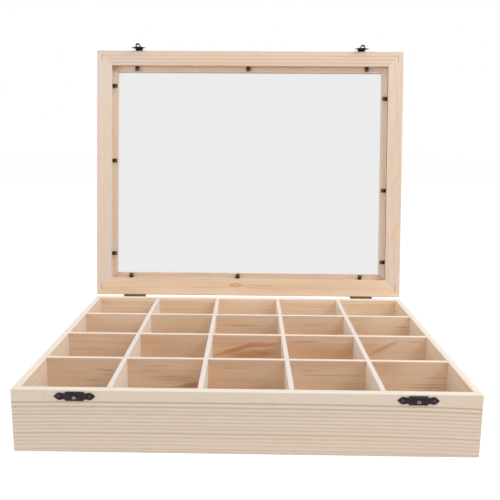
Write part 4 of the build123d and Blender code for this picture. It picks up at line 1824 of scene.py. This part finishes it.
@dataclass
class Latch:
    """One latch: a catch plate with its hook, and a lid plate with a swinging tongue.

    Attributes:
        side: The side of the box that it is on.
        plate: Outline of both plates.
        bronze: The finish of the plates, the pin and the tongue.
        bright: The finish of the hook.
        plate_drop: Distance of the catch plate's top from the rim.
        hook_drop: Distance of the hook's middle from the rim.
        hook_width: Width of the hook.
        hook_thickness: Thickness of the hook's strip.
        hook_radius: Outer radius of its curl.
        hook_root: Length of its strip inside the plate.
        stand_off: How far the curl's centre stands in front of the plate.
        tongue_knuckle: Length of the tongue's knuckle.
        end_knuckle: Length of each knuckle of the lid plate.
        gap: Running gap between knuckles.
        clearance: Gap between the plates and the tongue.
        thickness: Thickness of the tongue.
        ease_off: How much thinner its sheet is, so that it runs free.
        neck: Half width of the tongue at its neck.
        neck_start: How far below its knuckle the neck starts.
        wing: Half width over the wings.
        wing_drop: Distance of the wing tips from the pin.
        slot: Half width of the slot.
        slot_height: Height of the slot.
        tip: Half width of the tongue's tip.
        tip_drop: Distance of the tip from the pin.
        lip: Outer radius of the curled lip.
        lip_taper: Share of its width that the lip loses with each step of its curl.
    """

    side: Side
    plate: FleurPlate = field(default_factory=FleurPlate)
    bronze: WornFinish = BLACK_BRONZE
    bright: WornFinish = HOOK_BRASS_WITH_HIGHLIGHT
    plate_drop: float = 1.8
    hook_drop: float = 6.6
    hook_width: float = 3.0
    hook_thickness: float = 0.7
    hook_radius: float = 1.29
    hook_root: float = 0.5
    stand_off: float = 0.6
    tongue_knuckle: float = 4.6
    end_knuckle: float = 2.1
    gap: float = 0.2
    clearance: float = 0.3
    thickness: float = 0.8
    ease_off: float = 0.05
    neck: float = 4.0
    neck_start: float = 0.5
    wing: float = 9.2
    wing_drop: float = 5.2
    slot: float = 1.8
    slot_height: float = 4.8
    tip: float = 2.8
    tip_drop: float = 12.9
    lip: float = 1.1
    lip_taper: float = 0.05

    @property
    def pin(self) -> Vector:
        """Middle of the pin."""
        return Vector((self.side.value * LAYOUT.latch_x, LAYOUT.latch_y, LAYOUT.latch_z))

    @property
    def front(self) -> float:
        """Depth of the wood's front face."""
        return -LAYOUT.half_depth

    @property
    def catch_height(self) -> float:
        """Height of the catch plate's middle."""
        return LAYOUT.rim - self.plate_drop - self.plate.height / 2

    @property
    def latch_height(self) -> float:
        """Height of the lid plate's middle."""
        return LAYOUT.latch_z - self.gap + self.plate.height / 2

    @property
    def hook_height(self) -> float:
        """Height of the hook's middle."""
        return LAYOUT.rim - self.hook_drop

    def pressed_plate(self, height: float) -> Sheet:
        """A plate on the wood's front face, with its middle at a height."""
        return self.plate.sheet(Vector((self.pin.x, self.front, height)))

    def plate_knuckles(self) -> list[Sheet]:
        """The two knuckles at the lower edge of the lid plate.

        Returns:
            The sheets, in millimetres.
        """
        near = self.tongue_knuckle / 2 + self.gap
        far = near + self.end_knuckle
        ranges = ((self.pin.x - far, self.pin.x - near), (self.pin.x + near, self.pin.x + far))
        return [rolled_knuckle(self.pin.yz, (35.0, 385.0), x_range) for x_range in ranges]

    def hook(self) -> Sheet:
        """The strip that leaves the plate, bends forward and curls down to a rounded end.

        Returns:
            The sheet, in millimetres.
        """
        middle = self.hook_radius - self.hook_thickness / 2
        bend = (self.front - self.plate.thickness - self.stand_off, self.hook_height)
        level = bend[1] + middle
        strip = [(self.front, level), (self.front - self.hook_root, level)]
        path = strip + arc(bend, middle, 90.0, 272.0, 14)
        shares = [0.5] * 5 + [0.68, 0.84, 0.94, 1.0, 1.0, 1.0, 1.0, 0.98, 0.93, 0.84, 0.7, 0.5]
        curl = 5
        eye_column = 2

        def columns(row: int) -> list[float]:
            """The columns of a row, symmetric about the middle."""
            wide = self.hook_width / 2 * shares[row]
            return [self.pin.x + wide * share for share in (-1, -0.8, -0.5, 0.5, 0.8, 1)]

        def keep(row: int, column: int) -> bool:
            """Leaves an eye in the front of the curl."""
            return not (column == eye_column and curl <= row < 2 * curl)

        def wear(row: int, column: int) -> float:
            """The curl is painted ever brighter towards its lower end, as rubbed brass and as a painted
            highlight.
            """
            return 0.25 if row < curl else min(1.0, 0.4 + 0.15 * (row - curl))

        return bent_sheet(path, self.hook_thickness, columns, keep, wear)

    def tongue_rows(self) -> tuple[Path2, list[float], list[bool]]:
        """The tongue's sheet, row by row, from its knuckle down to its curled lip.

        Returns:
            The path of the sheet's middle, the half width of each row, and whether the cells
            below each row lie in the slot.
        """
        pin = self.pin.yz
        path = arc(pin, (KNUCKLE + BORE) / 2, 325.0, 588.0, 22)
        widths = [self.tongue_knuckle / 2] * len(path)
        in_slot = [False] * len(path)
        neck_drop = KNUCKLE + self.neck_start
        tip_start = pin[1] - self.hook_height
        slot_start = tip_start - self.slot_height / 2
        slot_end = tip_start + self.slot_height / 2
        drops = (
            spread(neck_drop, self.wing_drop, 7)
            + spread(self.wing_drop, slot_start, 5)[1:]
            + spread(slot_start, slot_end, 8)[1:]
            + [self.tip_drop]
        )
        y = self.front - self.plate.thickness - self.clearance - self.thickness / 2
        for drop in drops:
            path.append((y, pin[1] - drop))
            widths.append(self.half_width(drop, neck_drop, tip_start))
            in_slot.append(slot_start - SAME_POINT < drop < slot_end - SAME_POINT)
        roll = self.lip - self.thickness / 2
        curl = arc((y - roll, pin[1] - self.tip_drop), roll, 0.0, -165.0, 9)[1:]
        path += curl
        widths += [self.tip * (1 - self.lip_taper * index) for index in range(len(curl))]
        in_slot += [False] * len(curl)
        return path, widths, in_slot

    def half_width(self, drop: float, neck_drop: float, tip_start: float) -> float:
        """Half of the tongue's width at a distance below the pin.

        Args:
            drop: Distance below the pin.
            neck_drop: Distance at which the neck starts.
            tip_start: Distance from which the tip's sides run straight.

        Returns:
            The half width.
        """
        if drop <= self.wing_drop:
            share = (drop - neck_drop) / (self.wing_drop - neck_drop)
            return self.neck + (self.wing - self.neck) * share**2.4
        if drop <= tip_start:
            share = (drop - self.wing_drop) / (tip_start - self.wing_drop)
            return self.tip + (self.wing - self.tip) * (1 - share) ** 2.2
        return self.tip

    def tongue(self) -> Sheet:
        """The whole tongue as one bent sheet with its slot.

        Returns:
            The sheet, in millimetres.
        """
        path, widths, in_slot = self.tongue_rows()
        slot_cells = range(3, 7)
        rims = (0, 10)
        lip_rows = 5

        def columns(row: int) -> list[float]:
            """The columns of a row, out to the slot's edge and on to the rim.

            Args:
                row: The row.

            Returns:
                The X places, from left to right.
            """
            wide = widths[row]
            inside = min(self.slot, wide * 0.9)
            half = [inside * 0.5, inside] + [inside + (wide - inside) * share for share in (0.4, 0.75, 1.0)]
            return [self.pin.x + x for x in [-x for x in reversed(half)] + [0.0] + half]

        def keep(row: int, column: int) -> bool:
            """Leaves the slot open."""
            return not (in_slot[row] and column in slot_cells)

        def wear(row: int, column: int) -> float:
            """The rims of the wings and the lip are rubbed."""
            return 1.0 if column in rims or row >= len(path) - lip_rows else 0.15

        return bent_sheet(path, self.thickness - self.ease_off, columns, keep, wear)

    def nails(self, mesh: bmesh.types.BMesh, height: float) -> None:
        """Writes the two domed nails of a plate.

        Args:
            mesh: The mesh that takes them.
            height: Height of the nails.
        """
        shank = [(0.0, -5.6), (0.45, -4.9), (0.45, 0.0)]
        dome = [(1.0, 0.0), (0.97, 0.16), (0.82, 0.3), (0.5, 0.41), (0.0, 0.45)]
        nail = Turned(shank + dome, wear=1.0)
        for way in (-1, 1):
            x = self.pin.x + way * self.plate.nail
            nail.write(mesh, Vector((x, self.front - self.plate.thickness, height)), Vector((0, -1, 0)))

    def build(self) -> list[str]:
        """Builds the plates, the hook, the tongue and the pin.

        Returns:
            The names of the pieces.
        """
        side = self.side.label
        latch_plate = [self.pressed_plate(self.latch_height), *self.plate_knuckles()]
        parts = (
            ("catch_plate", "pressed", Body.BOX, self.bronze, [self.pressed_plate(self.catch_height)]),
            ("catch_hook", "curled", Body.BOX, self.bright, [self.hook()]),
            ("latch_plate", "pressed", Body.LID, self.bronze, latch_plate),
            ("latch_tongue", "bent", self.side.tongue, self.bronze, [self.tongue()]),
        )
        made = []
        for part, work, body, finish, sheets in parts:
            node = f"{side}_{part}"
            writers = [sheet.write for sheet in sheets]
            made.append(add_piece(f"{node}_{work}", node, body, finish, writers, bevel=0.1))
        reach = self.tongue_knuckle / 2 + self.end_knuckle + self.gap
        pin = [peened_pin(self.pin, reach)]
        made.append(add_piece(f"{side}_latch_pin_peened", f"{side}_latch_pin", Body.LID, self.bronze, pin))
        return made


@dataclass
class Fasteners:
    """The screws and nails, each family as one piece.

    Attributes:
        hinges: The hinges that the screws hold.
        latches: The latches whose plates the nails hold.
        brass: The finish of the screws.
        black: The finish of the nails.
    """

    hinges: tuple[Hinge, ...]
    latches: tuple[Latch, ...]
    brass: WornFinish = SCREW_BRASS
    black: WornFinish = RUBBED_NAILS

    def build(self) -> list[str]:
        """Builds the screws and nails.

        Returns:
            The names of the pieces.
        """
        made = []
        for body, direction in ((Body.BOX, -1), (Body.LID, 1)):
            node = f"hinge_{body.value}_screws"
            writers = [
                lambda mesh, hinge=hinge, way=direction: hinge.screws(mesh, way) for hinge in self.hinges
            ]
            made.append(add_piece(f"{node}_slotted", node, body, self.brass, writers))
        first = self.latches[0]
        plates = (("catch", Body.BOX, first.catch_height), ("latch", Body.LID, first.latch_height))
        for plate, body, height in plates:
            writers = [
                lambda mesh, latch=latch, at=height: latch.nails(mesh, at) for latch in self.latches
            ]
            made.append(add_piece(f"{plate}_nails_domed", f"{plate}_nails", body, self.black, writers))
        return made


@dataclass
class GlazingTabs:
    """Flat steel points driven into the rebate wall, which hold the pane.

    Attributes:
        finish: The finish of the tabs.
        width: Width of a tab.
        reach: How far a tab lies over the glass.
        bite: How far it is driven into the wood.
        thickness: Its thickness.
        lift: How far its free end is raised for each millimetre.
        lifted: Length of that end.
        point: Half width of its driven point.
        corner: Size of its cut corners.
        places: Where the tabs stand on each side, along that side.
    """

    finish: WornFinish = BLACK_TABS
    width: float = 5.0
    reach: float = 6.2
    bite: float = 4.0
    thickness: float = 0.5
    lift: float = 0.12
    lifted: float = 1.5
    point: float = 0.12
    corner: float = 0.35
    places: dict[str, tuple[float, ...]] = field(default_factory=lambda: {
        "front": (-148.0, -2.0, 153.0),
        "back": (-155.0, -13.5, 148.0),
        "left": (-115.0, -17.0, 105.5),
        "right": (-100.0, 20.0, 114.5),
    })

    def tab(self, root: Matrix) -> Sheet:
        """One tab with a driven point and a slightly raised free end.

        Args:
            root: Carries the tab from its own place to the lid's.

        Returns:
            The sheet, in millimetres.
        """
        half = self.width / 2
        stations = [(-self.bite, self.point), (-self.bite * 0.5, half), (0.0, half), (2.4, half), (3.4, half),
                    (self.reach - 1.4, half), (self.reach - self.corner, half),
                    (self.reach, half - self.corner)]
        outer: Grid = []
        inner: Grid = []
        for along, wide in stations:
            rise = self.lift * max(along - self.reach + self.lifted, 0.0)
            row = [wide * share for share in (-1.0, -0.8, 0.8, 1.0)]
            inner.append([root @ Vector((along, across, -rise)) for across in row])
            outer.append([root @ Vector((along, across, -self.thickness - rise)) for across in row])
        last_flat = 3
        return Sheet(outer, inner, wear=lambda row, column: 1.0 if row > last_flat else 0.0)

    def roots(self) -> list[Matrix]:
        """Where each tab leaves the rebate wall, turned to point over the glass.

        Returns:
            A matrix in millimetres for each tab.
        """
        rows = {
            "front": (OPENING.front, 90),
            "back": (OPENING.back, -90),
            "left": (-OPENING.side, 0),
            "right": (OPENING.side, 180),
        }
        found = []
        for side, along in self.places.items():
            wall, turn = rows[side]
            for value in along:
                x, y = (value, wall) if side in ("front", "back") else (wall, value)
                spot_on_wall = Matrix.Translation((x, y, OPENING.glass))
                found.append(spot_on_wall @ Matrix.Rotation(math.radians(turn), 4, "Z"))
        return found

    def build(self) -> list[str]:
        """Builds all the tabs as one piece.

        Returns:
            The name of the piece, in a list.
        """
        writers = [self.tab(root).write for root in self.roots()]
        return [
            add_piece(
                "glazing_tabs_driven", "glazing_tabs", Body.LID, self.finish, writers, bevel=0.06, segments=1
            )
        ]


# ---------------------------------------------------------------- studio
@dataclass(frozen=True)
class Lamp:
    """A square soft lamp.

    Attributes:
        name: Name of the lamp.
        at: Its place in metres.
        size: Its width in metres.
        power: Its power in watts.
    """

    name: str
    at: tuple[float, float, float]
    size: float
    power: float

    def hang(self, aim: Vector) -> None:
        """Hangs the lamp.

        Args:
            aim: The point that it faces, in metres.
        """
        light = bpy.data.lights.new(self.name, "AREA")
        light.shape = "SQUARE"
        light.size = self.size
        light.energy = self.power
        lamp = bpy.data.objects.new(self.name, light)
        lamp.location = self.at
        lamp.rotation_euler = (aim - lamp.location).to_track_quat("-Z", "Y").to_euler()
        bpy.context.scene.collection.objects.link(lamp)


@dataclass
class Studio:
    """The table, the lamps, the white surroundings and the camera.

    Attributes:
        camera_at: Place of the camera in millimetres.
        yaw: Turn of the view about Z, in radians, to the left of straight ahead.
        pitch: How far the view looks down, in radians.
        roll: Turn of the picture about the line of sight, in radians.
        focal: Focal length in pixels of the photograph.
        centre: The pixel that the line of sight meets.
        picture: Width and height of the picture in pixels.
        sensor: Width of the sensor in millimetres.
        table: Width of the table in metres.
        ambient: Brightness of the surroundings as a light.
        aim: The point that the lamps face, in metres.
        lamps: The lamps.
    """

    camera_at: tuple[float, float, float] = (2.13, -683.61, 273.28)
    yaw: float = -0.01693
    pitch: float = 0.19216
    roll: float = 0.00637
    focal: float = 659.29
    centre: tuple[float, float] = (238.606, 258.515)
    picture: float = 500.0
    sensor: float = 36.0
    table: float = 12.0
    ambient: float = 0.48
    aim: tuple[float, float, float] = (0.0, 0.0, 0.1)
    lamps: tuple[Lamp, ...] = (
        Lamp("overhead", (0.0, 0.1, 1.7), 1.8, 9.0),
        Lamp("left_box", (-2.0, -0.9, 0.5), 1.0, 12.0),
        Lamp("right_box", (2.0, -0.9, 0.5), 1.0, 4.5),
        Lamp("key", (1.4, -0.5, 1.5), 0.6, 16.0),
    )

    def camera(self) -> None:
        """Sets the camera where the photograph was taken from."""
        ahead = Vector((
            math.sin(self.yaw) * math.cos(self.pitch),
            math.cos(self.yaw) * math.cos(self.pitch),
            -math.sin(self.pitch),
        ))
        level = Vector((math.cos(self.yaw), -math.sin(self.yaw), 0.0))
        upright = level.cross(ahead)
        right = level * math.cos(self.roll) + upright * math.sin(self.roll)
        up = upright * math.cos(self.roll) - level * math.sin(self.roll)
        lens = bpy.data.cameras.new("camera")
        lens.sensor_width = self.sensor
        lens.lens = self.focal * self.sensor / self.picture
        lens.shift_x = (self.picture / 2 - self.centre[0]) / self.picture
        lens.shift_y = (self.centre[1] - self.picture / 2) / self.picture
        camera = bpy.data.objects.new("camera", lens)
        turn = Matrix((right, up, -ahead)).transposed().to_4x4()
        camera.matrix_world = Matrix.Translation(Vector(self.camera_at) * MM) @ turn
        bpy.context.scene.collection.objects.link(camera)
        bpy.context.scene.camera = camera

    def floor(self) -> None:
        """Lays the table under the box."""
        half = self.table / 2
        work = bmesh.new()
        corners = [(-half, -half), (half, -half), (half, half), (-half, half)]
        work.faces.new([work.verts.new((x, y, 0.0)) for x, y in corners])
        mesh = bpy.data.meshes.new("table")
        work.to_mesh(mesh)
        work.free()
        add_object("table", mesh, FloorFinish())

    def surroundings(self) -> None:
        """Makes the surroundings white to the eye and a soft light to the box."""
        world = bpy.data.worlds.new("white_room")
        bpy.context.scene.world = world
        graph = Graph(world)
        rays = graph.node("ShaderNodeLightPath", {}).outputs
        clear = graph.math("MAXIMUM", rays["Is Glossy Ray"], rays["Is Transmission Ray"])
        seen = graph.math("MAXIMUM", rays["Is Camera Ray"], clear)
        colour = shade((1.0, 1.0, 1.0))
        room = graph.node("ShaderNodeBackground", {"Color": colour, "Strength": self.ambient})
        white = graph.node("ShaderNodeBackground", {"Color": colour, "Strength": 1.0})
        graph.finish(graph.blend(seen, room, white))

    def build(self) -> list[str]:
        """Sets up the table, the lamps, the surroundings and the camera.

        Returns:
            The names of the lamps.
        """
        self.floor()
        self.surroundings()
        for lamp in self.lamps:
            lamp.hang(Vector(self.aim))
        self.camera()
        bpy.context.scene.view_settings.view_transform = "Standard"
        return [lamp.name for lamp in self.lamps]


def main() -> None:
    """Builds every sub-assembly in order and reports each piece."""
    logging.basicConfig(level=logging.INFO, format="%(name)s: %(message)s")
    hinges = tuple(Hinge(side) for side in Side)
    latches = tuple(Latch(side) for side in Side)
    fasteners = Fasteners(hinges, latches)
    assemblies: tuple[Assembly, ...] = (
        Carcass(), DividerGrid(), LidFrame(), *hinges, *latches, fasteners, GlazingTabs(), Studio()
    )
    for assembly in assemblies:
        for piece in assembly.build():
            log.info("%s: %s", type(assembly).__name__, piece)


if __name__ == "__main__":
    main()
